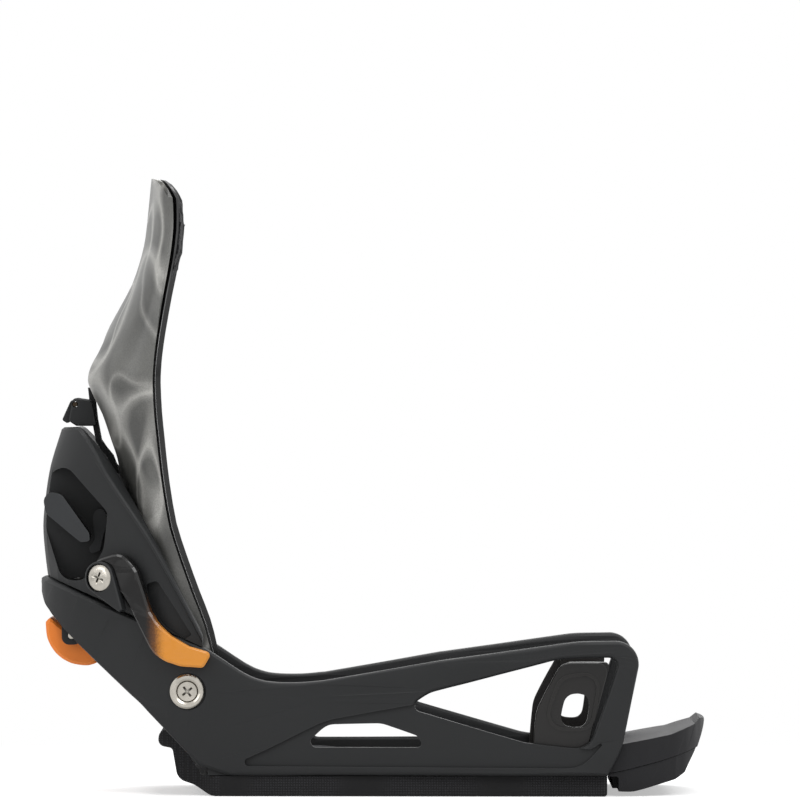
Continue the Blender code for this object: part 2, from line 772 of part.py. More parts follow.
def seam_cutter():
    """Everything up to the seam, in sections square to the hoop like the baseplate's wall, with the gap on top."""
    middle = Vector((HOOP_SIDE_X, 0, 0))
    rings = []
    for k in range(-18, 19):
        s = HOOP.s_at(HOOP_SIDE_X + 4 * MM) * k / 18
        wider = 1.1 * MM * ease(1 - abs(2 * abs(k) / 18 - 1), 0.0, 1.0)
        top = seam_z(HOOP.x_at(s)) + 1.2 * GAP + wider
        here, out = HOOP.point(s), HOOP.normal(s)
        inner = here + (middle - here) * 0.5
        sheet = [here + out * 5 * MM, here - out * 10 * MM, inner]
        above = [p + Vector((0, 0, top)) for p in sheet]
        below = [p + Vector((0, 0, 50 * MM)) for p in reversed(sheet)]
        rings.append(above + below)
    return loft("seam_cutter", rings)


def heel_housing():
    """A thick shell round the heel, with a mechanism pocket in each side and the latch slot in front."""
    housing = housing_skin("heel_housing")
    cut(housing, seam_cutter())
    outline = rounded(POCKET, step=22.0)
    for side in (-1, 1):
        low, high = sorted((side * WEB_HALF, side * 60 * MM))
        cut(housing, side_solid("pocket", outline, low, high))
    hollow = rounded(HOUSING_HOLLOW, step=30.0)
    for side in (-1, 1):
        low, high = sorted((side * 30 * MM, side * 60 * MM))
        sunk = side_solid("hollow", hollow, low, high)
        cut(sunk, housing_bulk("hollow_floor", HOLLOW_DEPTH, 62 * MM, 6))
        cut(housing, sunk)
    slot = [
        Vector((-147.5 * MM, 99 * MM)), Vector((-110 * MM, 96 * MM)),
        Vector((-110 * MM, 139 * MM)), Vector((-143 * MM, 139 * MM)),
    ]
    cut(housing, side_solid("latch_slot", slot, -LATCH_SLOT_HALF, LATCH_SLOT_HALF))
    across = Vector((0, WEB_HALF + 2 * MM, 0))
    cut(housing, rod("claw_bore", CLAW_AXIS - across, CLAW_AXIS + across, CLAW_SHAFT_RADIUS + RUN, 14))
    cut(housing, rod("toggle_bore", TOGGLE_AXIS - across, TOGGLE_AXIS + across, TOGGLE_SHAFT_RADIUS + RUN, 12))
    hub, out = lever_frame()
    cut(housing, rod("lever_bore", hub - out * 14 * MM, hub + out * 4 * MM, LEVER_STUB_RADIUS + RUN, 18))
    return finish(housing, material("nylon_black", "2E2F31", 0.62))


# ---------------------------------------------------------------- release lever

LEVER_STUB_RADIUS = 4.0 * MM


def lever_frame():
    """The release lever's hinge: a point on the hoop's outer face and the face's outward normal."""
    s = HOOP.s_at(LEVER_X)
    hub = HOOP.point(s) + Vector((0, 0, LEVER_Z))
    return hub, HOOP.normal(s)


def release_lever(parent):
    """The arm is drawn in side view and bent round the hoop, with a sunk seat for its hub plate."""
    arm = rounded([
        (-131.5 * MM, 92.2 * MM, 6 * MM),
        (-124.0 * MM, 97.0 * MM, 6 * MM),
        (-116.8 * MM, 84.6 * MM, 20 * MM),
        (-108.0 * MM, 66.0 * MM, 12 * MM),
        (-99.0 * MM, 60.4 * MM, 14 * MM),
        (-85.8 * MM, 59.4 * MM, 2 * MM),
        (-82.0 * MM, 66.2 * MM, 2 * MM),
        (-96.5 * MM, 70.8 * MM, 20 * MM),
        (-108.0 * MM, 82.0 * MM, 14 * MM),
        (-115.2 * MM, 104.5 * MM, 7 * MM),
        (-122.0 * MM, 112.4 * MM, 6 * MM),
        (-132.0 * MM, 109.0 * MM, 6 * MM),
        (-138.9 * MM, 101.0 * MM, 6 * MM),
    ], step=30.0)
    flat = [Vector((HOOP.s_at(p.x), p.y)) for p in arm]
    obj = flat_solid("release_lever", flat, LEVER_THICK, edge=0.9 * MM, edge_steps=0)
    obj.data.transform(Matrix.Translation((0, 0, LEVER_CLEAR + LEVER_THICK / 2)))
    first, last = HOOP.s_at(-140 * MM), HOOP.s_at(-80 * MM)
    HOOP.bend(obj, [first + (last - first) * k / 7.2 for k in range(8)])
    hub, out = lever_frame()
    seat = hub_plate_solid("hub_seat", GAP, hub, out, LEVER_CLEAR + 2.2 * MM, 20 * MM)
    cut(obj, seat)
    join(obj, rod("lever_stub", hub - out * 12 * MM, hub + out * (LEVER_CLEAR + 1.5 * MM), LEVER_STUB_RADIUS, 18))
    return finish(obj, material("lever_gloss", "E0A040", 0.18), parent)


def hub_plate_solid(name, grow, hub, out, low, high, edge=0.0):
    """A teardrop plate square to the lever's axis: a disc round the screw and a tail along the arm."""
    radius = HUB_RADIUS + grow
    tail = math.radians(-52.0)
    reach = 19.0 * MM + grow
    tip = Vector((math.cos(tail), math.sin(tail))) * reach
    side = Vector((-tip.y, tip.x)).normalized()
    corners = []
    for k in range(9):
        angle = tail + math.radians(82) + (math.tau - math.radians(164)) * k / 8
        corners.append(Vector((math.cos(angle), math.sin(angle))) * radius)
    corners.append(tip - side * (1.0 * MM + grow))
    corners.append(tip + side * (1.0 * MM + grow))
    plate = flat_solid(name, corners, high - low, edge=edge)
    along = Vector((-out.y, out.x, 0.0))
    frame = Matrix((
        (along.x, 0, out.x, hub.x),
        (along.y, 0, out.y, hub.y),
        (0, 1, 0, hub.z),
        (0, 0, 0, 1),
    ))
    return move_mesh(plate, frame @ Matrix.Translation((0, 0, (low + high) / 2)))


def lever_hub(parent):
    hub, out = lever_frame()
    plate = hub_plate_solid("lever_hub", 0.0, hub, out, LEVER_CLEAR + 2.2 * MM + GAP, 8.0 * MM, 0.5 * MM)
    cut(plate, rod("hub_sink", hub + out * 6.6 * MM, hub + out * 12 * MM, 6.3 * MM + GAP, 24))
    cut(plate, rod("hub_bore", hub, hub + out * 12 * MM, 2.0 * MM + RUN, 14))
    return finish(plate, material("nylon_black", "2E2F31", 0.62), parent)


def lever_screw(parent):
    hub, out = lever_frame()
    screw = turned("lever_screw", [
        (0.0, 1.5 * MM), (4.6 * MM, 1.3 * MM), (6.2 * MM, 0.5 * MM), (6.3 * MM, 0.0),
        (2.0 * MM, 0.0), (2.0 * MM, -3.0 * MM), (0.0, -3.4 * MM),
    ], 20)
    face = hub + out * (6.6 * MM + GAP)
    placed(screw, face, out)
    cut(screw, cross_recess("lever_cross", face + out * 1.5 * MM, out, 2.9 * MM, 1.3 * MM))
    return finish(screw, material("steel", "C9C5BC", 0.3, 1.0), parent)


# ---------------------------------------------------------------- latch


def latch_shaft():
    half = WEB_HALF + 2.5 * MM
    across = Vector((0, half, 0))
    shaft = rod("latch_shaft", CLAW_AXIS - across, CLAW_AXIS + across, CLAW_SHAFT_RADIUS, 14)
    return finish(shaft, material("steel", "C9C5BC", 0.3, 1.0))


def latch_claw(parent):
    """Two hooked plates on one tube, which swing back into the slot when the heel is let go."""
    a = CLAW_AXIS
    hook = rounded([
        (a.x - 5.2 * MM, a.z + 1.0 * MM, 5 * MM),
        (a.x - 4.2 * MM, a.z - 6.0 * MM, 3 * MM),
        (a.x + 6.5 * MM, a.z - 12.0 * MM, 6 * MM),
        (a.x + 6.5 * MM, a.z - 19.5 * MM, 1.2 * MM),
        (a.x + 15.5 * MM, a.z - 17.0 * MM, 1.2 * MM),
        (a.x + 18.5 * MM, a.z - 9.5 * MM, 3 * MM),
        (a.x + 8.0 * MM, a.z + 3.6 * MM, 5 * MM),
        (a.x, a.z + 5.6 * MM, 4 * MM),
    ])
    inside, outside = 2.6 * MM, LATCH_SLOT_HALF - 0.6 * MM
    claw = side_solid("latch_claw", hook, inside, outside)
    join(claw, side_solid("claw_plate", hook, -outside, -inside))
    bridge = Vector((0, inside + 1 * MM, 0))
    tip = a + Vector((11.5 * MM, 0, -12.5 * MM))
    join(claw, rod("claw_bridge", tip - bridge, tip + bridge, 2.6 * MM, 12))
    across = Vector((0, 12 * MM, 0))
    cut(claw, rod("claw_eye", a - across, a + across, CLAW_SHAFT_RADIUS + RUN, 14))
    return finish(claw, material("steel_dark", "5B5C5E", 0.35, 1.0), parent)


def latch_crank(parent, name, side):
    """The bone-shaped arm on the shaft's end that the toggle's finger works."""
    a = CLAW_AXIS
    bone = rounded([
        (a.x - 3.9 * MM, a.z + 1.0 * MM, 3.4 * MM),
        (a.x - 3.6 * MM, a.z - 4.5 * MM, 4 * MM),
        (a.x - 2.6 * MM, a.z - 10.0 * MM, 5 * MM),
        (a.x - 5.8 * MM, a.z - 14.0 * MM, 1.4 * MM),
        (a.x - 4.8 * MM, a.z - 16.6 * MM, 1.2 * MM),
        (a.x - 0.6 * MM, a.z - 15.2 * MM, 1.6 * MM),
        (a.x + 1.0 * MM, a.z - 8.0 * MM, 6 * MM),
        (a.x + 2.9 * MM, a.z - 1.6 * MM, 4 * MM),
        (a.x + 1.6 * MM, a.z + 3.9 * MM, 3 * MM),
        (a.x - 2.2 * MM, a.z + 4.2 * MM, 3 * MM),
    ])
    low, high = sorted((side * (WEB_HALF + 0.5 * MM), side * (WEB_HALF + 3.9 * MM)))
    crank = side_solid(name, bone, low, high)
    blind = Vector((0, side * (WEB_HALF + 2.9 * MM), 0))
    cut(crank, rod("crank_eye", a, a + blind, CLAW_SHAFT_RADIUS + RUN, 14))
    return finish(crank, material("steel_dark", "5B5C5E", 0.35, 1.0), parent)


def coil(name, centre, mean_radius, wire, turns, width, legs=()):
    """A torsion spring about an axis along Y: an open helix of round wire, with a straight leg at each end."""
    per_turn = 8
    points = []
    if legs:
        points.append(Vector(legs[0]))
    for k in range(int(turns * per_turn) + 1):
        angle = math.tau * k / per_turn
        points.append(centre + Vector((
            mean_radius * math.cos(angle),
            width * (k / (turns * per_turn) - 0.5),
            mean_radius * math.sin(angle),
        )))
    if legs:
        points.append(Vector(legs[1]))
    curve = bpy.data.curves.new(name, "CURVE")
    curve.dimensions = "3D"
    curve.bevel_depth = wire / 2
    curve.bevel_resolution = 0
    curve.use_fill_caps = True
    spline = curve.splines.new("POLY")
    spline.points.add(len(points) - 1)
    for point, place in zip(spline.points, points):
        point.co = (*place, 1.0)
    obj = bpy.data.objects.new(name, curve)
    bpy.data.collections[PARTS].objects.link(obj)
    return as_mesh(obj, name)


def claw_spring():
    a = CLAW_AXIS
    spring = coil("claw_spring", a, 3.9 * MM, 1.0 * MM, 2.5, 3.4 * MM)
    return finish(spring, material("steel", "C9C5BC", 0.3, 1.0))


def toggle(parent, name, side):
    """A teardrop bell crank whose outer end follows the housing's surface."""
    a = TOGGLE_AXIS
    tip = Vector((-140.9 * MM, 118.2 * MM))
    drop = rounded([
        (a.x - 4.9 * MM, a.z + 2.2 * MM, 4.2 * MM),
        (a.x - 3.4 * MM, a.z - 4.8 * MM, 4.2 * MM),
        (tip.x - 2.6 * MM, tip.y - 1.6 * MM, 1.6 * MM),
        (tip.x + 1.9 * MM, tip.y - 1.2 * MM, 1.5 * MM),
        (tip.x + 1.5 * MM, tip.y + 2.6 * MM, 1.6 * MM),
        (a.x + 4.0 * MM, a.z + 4.2 * MM, 4.2 * MM),
        (a.x - 1.6 * MM, a.z + 5.4 * MM, 4.2 * MM),
    ])
    near = WEB_HALF + 4.3 * MM
    low, high = sorted((side * near, side * 60 * MM))
    arm = side_solid(name, drop, low, high)
    face = [
        Vector((a.x - 20 * MM, side * (near - 9 * MM))), Vector((tip.x + 20 * MM, side * (near - 9 * MM))),
        Vector((tip.x + 20 * MM, side * (near + 31.5 * MM))), Vector((a.x - 20 * MM, side * (near - 5.5 * MM))),
    ]
    keep(arm, plan_solid("toggle_face", face if side > 0 else face[::-1], a.z - 40 * MM, a.z + 40 * MM))
    blind = Vector((0, side * (WEB_HALF + 6.4 * MM), 0))
    cut(arm, rod("toggle_eye", a, a + blind, TOGGLE_SHAFT_RADIUS + GAP, 12))
    return finish(arm, material("nylon_grey", "4A4B4D", 0.5), parent)


def toggle_pin(parent):
    across = Vector((0, WEB_HALF + 6.0 * MM, 0))
    pin = rod("toggle_pin", TOGGLE_AXIS - across, TOGGLE_AXIS + across, TOGGLE_SHAFT_RADIUS, 12)
    return finish(pin, material("steel", "C9C5BC", 0.3, 1.0), parent)


def toggle_spring(name, side):
    a = TOGGLE_AXIS + Vector((0, side * (WEB_HALF + 2.1 * MM), 0))
    spring = coil(name, a, 2.6 * MM, 0.8 * MM, 2.25, 2.3 * MM)
    return finish(spring, material("steel", "C9C5BC", 0.3, 1.0))


# ---------------------------------------------------------------- highback

SPINE = smooth_line([
    (30 * MM, -150.0 * MM),
    (66 * MM, -148.0 * MM),
    (100 * MM, -124.0 * MM),
    (130 * MM, -124.5 * MM),
    (150.4 * MM, -127.5 * MM),
    (168.4 * MM, -133.4 * MM),
    (183.0 * MM, -138.8 * MM),
    (191.8 * MM, -143.3 * MM),
    (raised(208.8 * MM), -135.2 * MM),
    (raised(233.7 * MM), -121.4 * MM),
    (raised(252.0 * MM), -115.2 * MM),
    (HIGHBACK_TOP, -111.3 * MM),
])
WING_EDGE = smooth_line([
    (30 * MM, PIVOT.x + EAR_RADIUS),
    (48.3 * MM, PIVOT.x + EAR_RADIUS),
    (70.8 * MM, -83.7 * MM),
    (98.4 * MM, -93.4 * MM),
    (127.0 * MM, -102.6 * MM),
    (159.6 * MM, -107.2 * MM),
    (189.5 * MM, -109.5 * MM),
    (raised(228.2 * MM), -105.8 * MM),
    (raised(266.0 * MM), -101.8 * MM),
    (HIGHBACK_TOP, -103.6 * MM),
])
HIGHBACK_HALF = smooth_line([
    (30 * MM, HEEL_HALF_WIDTH - RAIL_THICK - EAR_PLAY - 0.3 * MM),
    (100 * MM, HEEL_HALF_WIDTH - RAIL_THICK - EAR_PLAY - 1.1 * MM),
    (130 * MM, HEEL_HALF_WIDTH - RAIL_THICK - EAR_PLAY - 1.4 * MM),
    (152 * MM, HEEL_HALF_WIDTH - 6.6 * MM),
    (192 * MM, HEEL_HALF_WIDTH - 4.0 * MM),
    (raised(240 * MM), HEEL_HALF_WIDTH - 8.5 * MM),
    (HIGHBACK_TOP, HEEL_HALF_WIDTH - 17.0 * MM),
])
HIGHBACK_ROWS = [33, 50, 66, 79, 92, 108, 124, 141, 148, 155, 163, 176,
                 190, 197, 204, 216, 236, 254, 269, 281]
HIGHBACK_COLUMNS = [0.0, 0.14, 0.20, 0.26, 0.36, 0.51, 0.67, 0.84, 1.0]


def highback_surface(across, z, proud):
    """A point of the highback's outer skin; across runs from -1 to 1, and proud moves its edge forward."""
    sweep = math.radians(90.0 - 22.0 * ease(z, 200 * MM, HIGHBACK_TOP))
    power = 2.0 / (2.0 + 0.3 * (1 - ease(z, 66 * MM, 100 * MM)))
    angle = sweep * across
    rear, front = SPINE(z), WING_EDGE(z) + proud
    share = (1 - max(math.cos(angle), 0.0) ** power) / (1 - max(math.cos(sweep), 0.0) ** power)
    y = HIGHBACK_HALF(z) * math.copysign(abs(math.sin(angle)) ** power, angle) / math.sin(sweep) ** power
    track = ease(z, 144 * MM, 160 * MM) * (1 - ease(z, 196 * MM, 212 * MM))
    track *= 1 - ease(abs(y), TRACK_HALF - 5 * MM, TRACK_HALF + 6 * MM)
    return Vector((rear + (front - rear) * share + TRACK_DEPTH * track, y, z))


def highback_point(across, z, inset, proud=0.0):
    """A point inside the highback's outer skin, measured square to it."""
    here = highback_surface(across, z, proud)
    if inset == 0:
        return here
    right, left = max(across - 0.01, -1.0), min(across + 0.01, 1.0)
    over = highback_surface(left, z, proud) - highback_surface(right, z, proud)
    up = highback_surface(across, z + 1 * MM, proud) - highback_surface(across, z - 1 * MM, proud)
    return here + over.cross(up).normalized() * inset


def highback_skin(name, inset, thick, proud, thin_rows=1):
    """A curved wall from the ears to the top edge, as a loft of plan sections."""
    columns = [-a for a in reversed(HIGHBACK_COLUMNS[1:])] + HIGHBACK_COLUMNS
    rings = []
    for row in HIGHBACK_ROWS + [None]:
        outside, inside = [], []
        for across in columns:
            top = HIGHBACK_TOP - TOP_DROP * abs(across) ** 4
            z = top if row is None else min(row * MM, top - 1 * MM)
            if row is not None and row * MM > 200 * MM:
                z = UPPER_START + (row * MM - UPPER_START) * (top - UPPER_START) / UPPER_SPAN
            outside.append(highback_point(across, z, inset, proud))
            inside.append(highback_point(across, z, inset + thick, proud))
        rings.append(outside + inside[::-1])
    return loft(name, rings)


def heel_arch(name, grow=0.0):
    """What is cut away below and behind: the arch over the latch and the round ends of the ears."""
    p = PIVOT
    radius = EAR_RADIUS + grow
    rear = [
        Vector((-210 * MM, 151.0 * MM)), Vector((-127.0 * MM, 151.0 * MM)),
        Vector((-120.0 * MM + grow, 137.0 * MM)), Vector((-115.5 * MM + grow, 128.0 * MM)),
        Vector((-108.0 * MM + grow, 114.0 * MM)), Vector((-105.9 * MM + grow, 99.0 * MM)),
        Vector((p.x - radius, 70.0 * MM)),
    ]
    around = [
        Vector((p.x - radius * math.cos(a), p.z - radius * math.sin(a)))
        for a in (math.pi * k / 8 for k in range(9))
    ]
    outside = [Vector((-60 * MM, p.z)), Vector((-60 * MM, 10 * MM)), Vector((-210 * MM, 10 * MM))]
    return side_solid(name, rear + around + outside, -90 * MM, 90 * MM)


def ear_face():
    """How far out the nuts' seats lie inside the ears."""
    outer = HEEL_HALF_WIDTH - RAIL_THICK - EAR_PLAY
    return outer - SHELL_THICK - CORE_THICK - CORE_GAP - 0.6 * MM


def highback(parent):
    shell = highback_skin("highback_shell", 0.0, SHELL_THICK, 0.0)
    core = highback_skin("highback_core", SHELL_THICK + CORE_GAP, CORE_THICK, CORE_PROUD)
    for piece in (shell, core):
        cut(piece, heel_arch("heel_arch"))
        across = Vector((0, 80 * MM, 0))
        cut(piece, rod("ear_bore", PIVOT - across, PIVOT + across, BOLT_RADIUS + RUN, 16))
        seat = Vector((0, ear_face(), 0))
        cut(piece, rod("nut_seat", PIVOT - seat, PIVOT + seat, 7.0 * MM + GAP, 20))
    finish(shell, material("highback_silver", "9B9B98", 0.45), parent)
    finish(core, material("core_black", "1B1B1C", 0.3), parent)


def highback_pad(parent):
    """The foam pad inside the top of the highback, thick in the middle and thin at its ends."""
    low, high = raised(234 * MM), raised(281 * MM)
    rows, columns = 7, 8
    inset = SHELL_THICK + CORE_THICK + CORE_GAP + GAP + 0.7 * MM
    rings = []
    for j in range(rows + 1):
        z = low + (high - low) * j / rows
        end = math.sqrt(max(1 - (2 * j / rows - 1) ** 2, 0.0))
        thick = PAD_THICK * (0.45 + 0.55 * end)
        wide = 0.74 * (0.86 + 0.14 * end)
        back = [highback_point(wide * (-1 + 2 * i / columns), z, inset) for i in range(columns + 1)]
        face = [point + Vector((thick, 0, 0)) for point in reversed(back)]
        rings.append(back + face)
    return finish(loft("highback_pad", rings), material("pad_knit", "232425", 0.9), parent)


# ---------------------------------------------------------------- forward-lean stop

LEAN_LOW = Vector((-137.2 * MM, 163.0 * MM))
LEAN_HIGH_Z = 188.0 * MM


def lean_point(z, off=0.0):
    """A side-view point on the lean rail's rear face at height z, moved off it to the rear."""
    x = LEAN_LOW.x + LEAN_SLOPE * (z - LEAN_LOW.y)
    return Vector((x - off, z))


def lean_rail(parent):
    """A bridge over the highback's track: a straight run for the block, and a foot at each end."""
    top = lean_point(LEAN_HIGH_Z)
    t = LEAN_RAIL_THICK
    groove = SPINE(LEAN_HIGH_Z) + TRACK_DEPTH - 2 * GAP
    outline = [
        top, LEAN_LOW, Vector((-131.6 * MM, 155.4 * MM)), Vector((-128.2 * MM, 147.2 * MM)),
        Vector((-126.2 * MM, 148.2 * MM)), Vector((-129.2 * MM, 156.6 * MM)),
        LEAN_LOW + Vector((t, 0.8 * MM)), lean_point(LEAN_HIGH_Z - 5 * MM, -t),
        Vector((groove, LEAN_HIGH_Z - 5 * MM)), Vector((groove, LEAN_HIGH_Z)),
    ]
    rail = side_solid("lean_rail", outline, -LEAN_RAIL_HALF, LEAN_RAIL_HALF)
    return finish(rail, material("nylon_black", "2E2F31", 0.62), parent)


def lean_block(parent):
    base = HOUSING_TOP + 0.7 * MM
    body = rounded([
        (-149.6 * MM, base + 2.4 * MM, 1.5 * MM),
        (-147.6 * MM, base + 13.2 * MM, 2.0 * MM),
        (-138.6 * MM, base + 12.0 * MM, 2.0 * MM),
        (-136.2 * MM, base, 1.0 * MM),
        (-146.0 * MM, base, 1.5 * MM),
    ])
    piece = side_solid("lean_block", body, -LEAN_BLOCK_HALF, LEAN_BLOCK_HALF, edge=0.6 * MM)
    play = 0.3 * MM
    channel = [
        lean_point(base - 9 * MM, play), lean_point(base + 24 * MM, play),
        lean_point(base + 24 * MM, -20 * MM), lean_point(base - 9 * MM, -20 * MM),
    ]
    cut(piece, side_solid("lean_channel", channel, -LEAN_RAIL_HALF - play, LEAN_RAIL_HALF + play))
    wall = LEAN_LEVER_AXIS.x + 2.5 * MM
    notch = block("lever_notch", (wall - 16 * MM, -9.4 * MM, base - 5 * MM), (wall, 9.4 * MM, base + 20 * MM))
    cut(piece, notch)
    across = Vector((0, LEAN_BLOCK_HALF + 2 * MM, 0))
    cut(piece, rod("lean_pin_bore", LEAN_LEVER_AXIS - across, LEAN_LEVER_AXIS + across, 1.1 * MM + RUN, 10))
    return finish(piece, material("nylon_black", "2E2F31", 0.62), parent)


def lean_lever(parent):
    """The thumb flap that locks the block."""
    a = LEAN_LEVER_AXIS
    flap = rounded([
        (a.x - 2.0 * MM, a.z + 2.0 * MM, 2.0 * MM),
        (a.x - 6.2 * MM, a.z - 7.4 * MM, 1.0 * MM),
        (a.x - 3.6 * MM, a.z - 9.0 * MM, 0.8 * MM),
        (a.x + 1.4 * MM, a.z - 2.2 * MM, 2.0 * MM),
        (a.x + 2.0 * MM, a.z + 2.0 * MM, 2.0 * MM),
    ])
    piece = side_solid("lean_lever", flap, -9.0 * MM, 9.0 * MM, edge=0.3 * MM)
    across = Vector((0, 12 * MM, 0))
    cut(piece, rod("flap_bore", a - across, a + across, 1.1 * MM + RUN, 10))
    return finish(piece, material("nylon_black", "2E2F31", 0.62), parent)


def lean_pin(parent):
    across = Vector((0, LEAN_BLOCK_HALF - 0.4 * MM, 0))
    pin = rod("lean_pin", LEAN_LEVER_AXIS - across, LEAN_LEVER_AXIS + across, 1.1 * MM, 10)
    return finish(pin, material("brass", "B07A45", 0.35, 1.0), parent)


# ---------------------------------------------------------------- rear lever


def rear_lever(parent):
    """A scooped paddle under the hoop's rear, on a pin between two lugs."""
    a = REAR_LEVER_AXIS
    scoop = rounded([
        (a.x - 3.6 * MM, a.z + 3.0 * MM, 3.0 * MM),
        (a.x - 10.2 * MM, a.z + 8.2 * MM, 1.0 * MM),
        (a.x - 12.1 * MM, a.z + 6.2 * MM, 1.4 * MM),
        (a.x - 11.6 * MM, a.z - 1.6 * MM, 14 * MM),
        (a.x - 7.6 * MM, a.z - 8.6 * MM, 16 * MM),
        (a.x - 0.6 * MM, a.z - 13.4 * MM, 16 * MM),
        (a.x + 8.0 * MM, a.z - 14.2 * MM, 10 * MM),
        (a.x + 12.2 * MM, a.z - 12.6 * MM, 1.0 * MM),
        (a.x + 11.0 * MM, a.z - 9.6 * MM, 1.0 * MM),
        (a.x + 3.6 * MM, a.z + 0.6 * MM, 3.0 * MM),
        (a.x + 2.6 * MM, a.z + 3.4 * MM, 2.0 * MM),
    ])
    paddle = side_solid("rear_lever", scoop, -REAR_LEVER_HALF, REAR_LEVER_HALF, edge=1.2 * MM)
    across = Vector((0, REAR_LEVER_HALF + 5 * MM, 0))
    cut(paddle, rod("paddle_bore", a - across, a + across, REAR_PIN_RADIUS + RUN, 12))
    return finish(paddle, material("orange_nylon", "C9722F", 0.5), parent)


def rear_lever_pin():
    across = Vector((0, REAR_LEVER_HALF + 0.5 * MM + LUG_THICK - 0.3 * MM, 0))
    pin = rod("rear_lever_pin", REAR_LEVER_AXIS - across, REAR_LEVER_AXIS + across, REAR_PIN_RADIUS, 12)
    return finish(pin, material("steel", "C9C5BC", 0.3, 1.0))


# ---------------------------------------------------------------- highback bolts


def ear_bolt(name, side):
    """A countersunk screw that passes the rail and the ear into a barrel nut."""
    seat = Vector((PIVOT.x, side * (HEEL_HALF_WIDTH - 1.5 * MM), PIVOT.z))
    bolt = turned(name, [
        (0.0, 1.5 * MM), (4.4 * MM, 1.35 * MM), (4.6 * MM, 1.0 * MM), (BOLT_RADIUS, 0.0),
        (BOLT_RADIUS, -11.0 * MM), (0.0, -11.6 * MM),
    ], 14)
    out = Vector((0, side, 0))
    placed(bolt, seat, out)
    cut(bolt, cross_recess("bolt_cross", seat + out * 1.5 * MM, out, 2.9 * MM, 1.5 * MM))
    return finish(bolt, material("steel", "C9C5BC", 0.3, 1.0))


def ear_washer(name, side):
    seat = Vector((PIVOT.x, side * (HEEL_HALF_WIDTH - 1.5 * MM + GAP), PIVOT.z))
    washer = turned(name, [
        (6.0 * MM, 1.2 * MM), (7.2 * MM, 1.1 * MM), (WASHER_RADIUS, 0.4 * MM), (WASHER_RADIUS, 0.0),
        (BOLT_RADIUS + 1.1 * MM, 0.0), (6.0 * MM, 1.2 * MM),
    ], 24)
    placed(washer, seat, Vector((0, side, 0)))
    return finish(washer, material("steel", "C9C5BC", 0.3, 1.0))


def ear_nut(name, side):
    """The flanged nut inside the ear, flush under the leg's padding."""
    face = ear_face() - GAP
    nut = turned(name, [
        (BOLT_RADIUS + RUN, 0.0), (7.0 * MM, 0.0), (7.0 * MM, -1.6 * MM), (6.4 * MM, -2.0 * MM),
        (BOLT_RADIUS + RUN, -2.0 * MM), (BOLT_RADIUS + RUN, 0.0),
    ], 16)
    placed(nut, Vector((PIVOT.x, side * face, PIVOT.z)), Vector((0, side, 0)))
    return finish(nut, material("steel", "C9C5BC", 0.3, 1.0))


# ---------------------------------------------------------------- toe end


def hook_face():
    """How far out a toe hook's outer face lies, clear of the rail at both of its ends."""
    return HOOP.half_width_at(RAIL_FOOT_X - 34.6 * MM) - RAIL_THICK - HOOK_PLAY


def toe_hook(name, side):
    """A bent plate inside the front window: its top edge turns in over the boot's cleat."""
    toe = RAIL_FOOT_X
    plate = rounded([
        (toe - 34.6 * MM, 17.6 * MM, 0.5 * MM),
        (toe - 9.6 * MM, 17.6 * MM, 0.5 * MM),
        (toe - 6.6 * MM, 31.0 * MM, 8 * MM),
        (toe + 1.6 * MM, 61.6 * MM, 4.5 * MM),
        (toe - 21.0 * MM, 61.6 * MM, 7 * MM),
        (toe - 32.6 * MM, 40.0 * MM, 14 * MM),
    ], step=26.0)
    eye = rounded([
        (toe - 22.2 * MM, 32.4 * MM, 4.5 * MM),
        (toe - 9.8 * MM, 31.6 * MM, 4.5 * MM),
        (toe - 7.6 * MM, 47.0 * MM, 4.5 * MM),
        (toe - 19.0 * MM, 47.4 * MM, 5.5 * MM),
    ], step=30.0)
    outer = hook_face()
    thick = 3.4 * MM
    low, high = sorted((side * (outer - thick), side * outer))
    hook = side_solid(name, plate, low, high, [eye], 0.5 * MM)
    rim = [rounded([
        (toe - 30.6 * MM + w, 30.2 * MM + w, 8 * MM - w),
        (toe - 6.4 * MM - w, 30.2 * MM + w, 7 * MM - w),
        (toe - 2.2 * MM - w, 58.0 * MM - w, 7 * MM - w),
        (toe - 22.4 * MM + w, 55.6 * MM - w, 9 * MM - w),
    ], step=30.0) for w in (0.0, 1.5 * MM)]
    low, high = sorted((side * (outer - 0.7 * MM), side * (outer + 5 * MM)))
    cut(hook, side_solid("hook_dish", rim[1], low, high))
    low, high = sorted((side * (outer - 1.0 * MM), side * (outer + 0.8 * MM)))
    join(hook, side_solid("hook_rim", rim[0], low, high, [rim[1]]))
    lip = rounded([
        (toe - 20.0 * MM, 57.0 * MM, 0.8 * MM),
        (toe + 0.6 * MM, 57.0 * MM, 0.8 * MM),
        (toe + 1.4 * MM, 61.6 * MM, 2.2 * MM),
        (toe - 19.0 * MM, 61.6 * MM, 3.0 * MM),
    ], step=45.0)
    low, high = sorted((side * (outer - thick - 6.5 * MM), side * (outer - 1.0 * MM)))
    join(hook, side_solid("hook_lip", lip, low, high))
    low, high = sorted((side * (outer - 18 * MM), side * (outer - 0.6 * MM)))
    foot = block("hook_foot", (toe - 34.0 * MM, low, FLOOR_BOTTOM + FLOOR_THICK + GAP),
                 (toe - 9.4 * MM, high, FLOOR_BOTTOM + FLOOR_THICK + 4.2 * MM))
    join(hook, foot)
    centre = Vector((toe - 21.7 * MM, side * (outer - 11 * MM), 0))
    cut(hook, rod("hook_bore", centre + Vector((0, 0, 5 * MM)), centre + Vector((0, 0, 30 * MM)), 2.5 * MM + RUN, 14))
    return finish(hook, material("hook_black", "1E1E1F", 0.35))


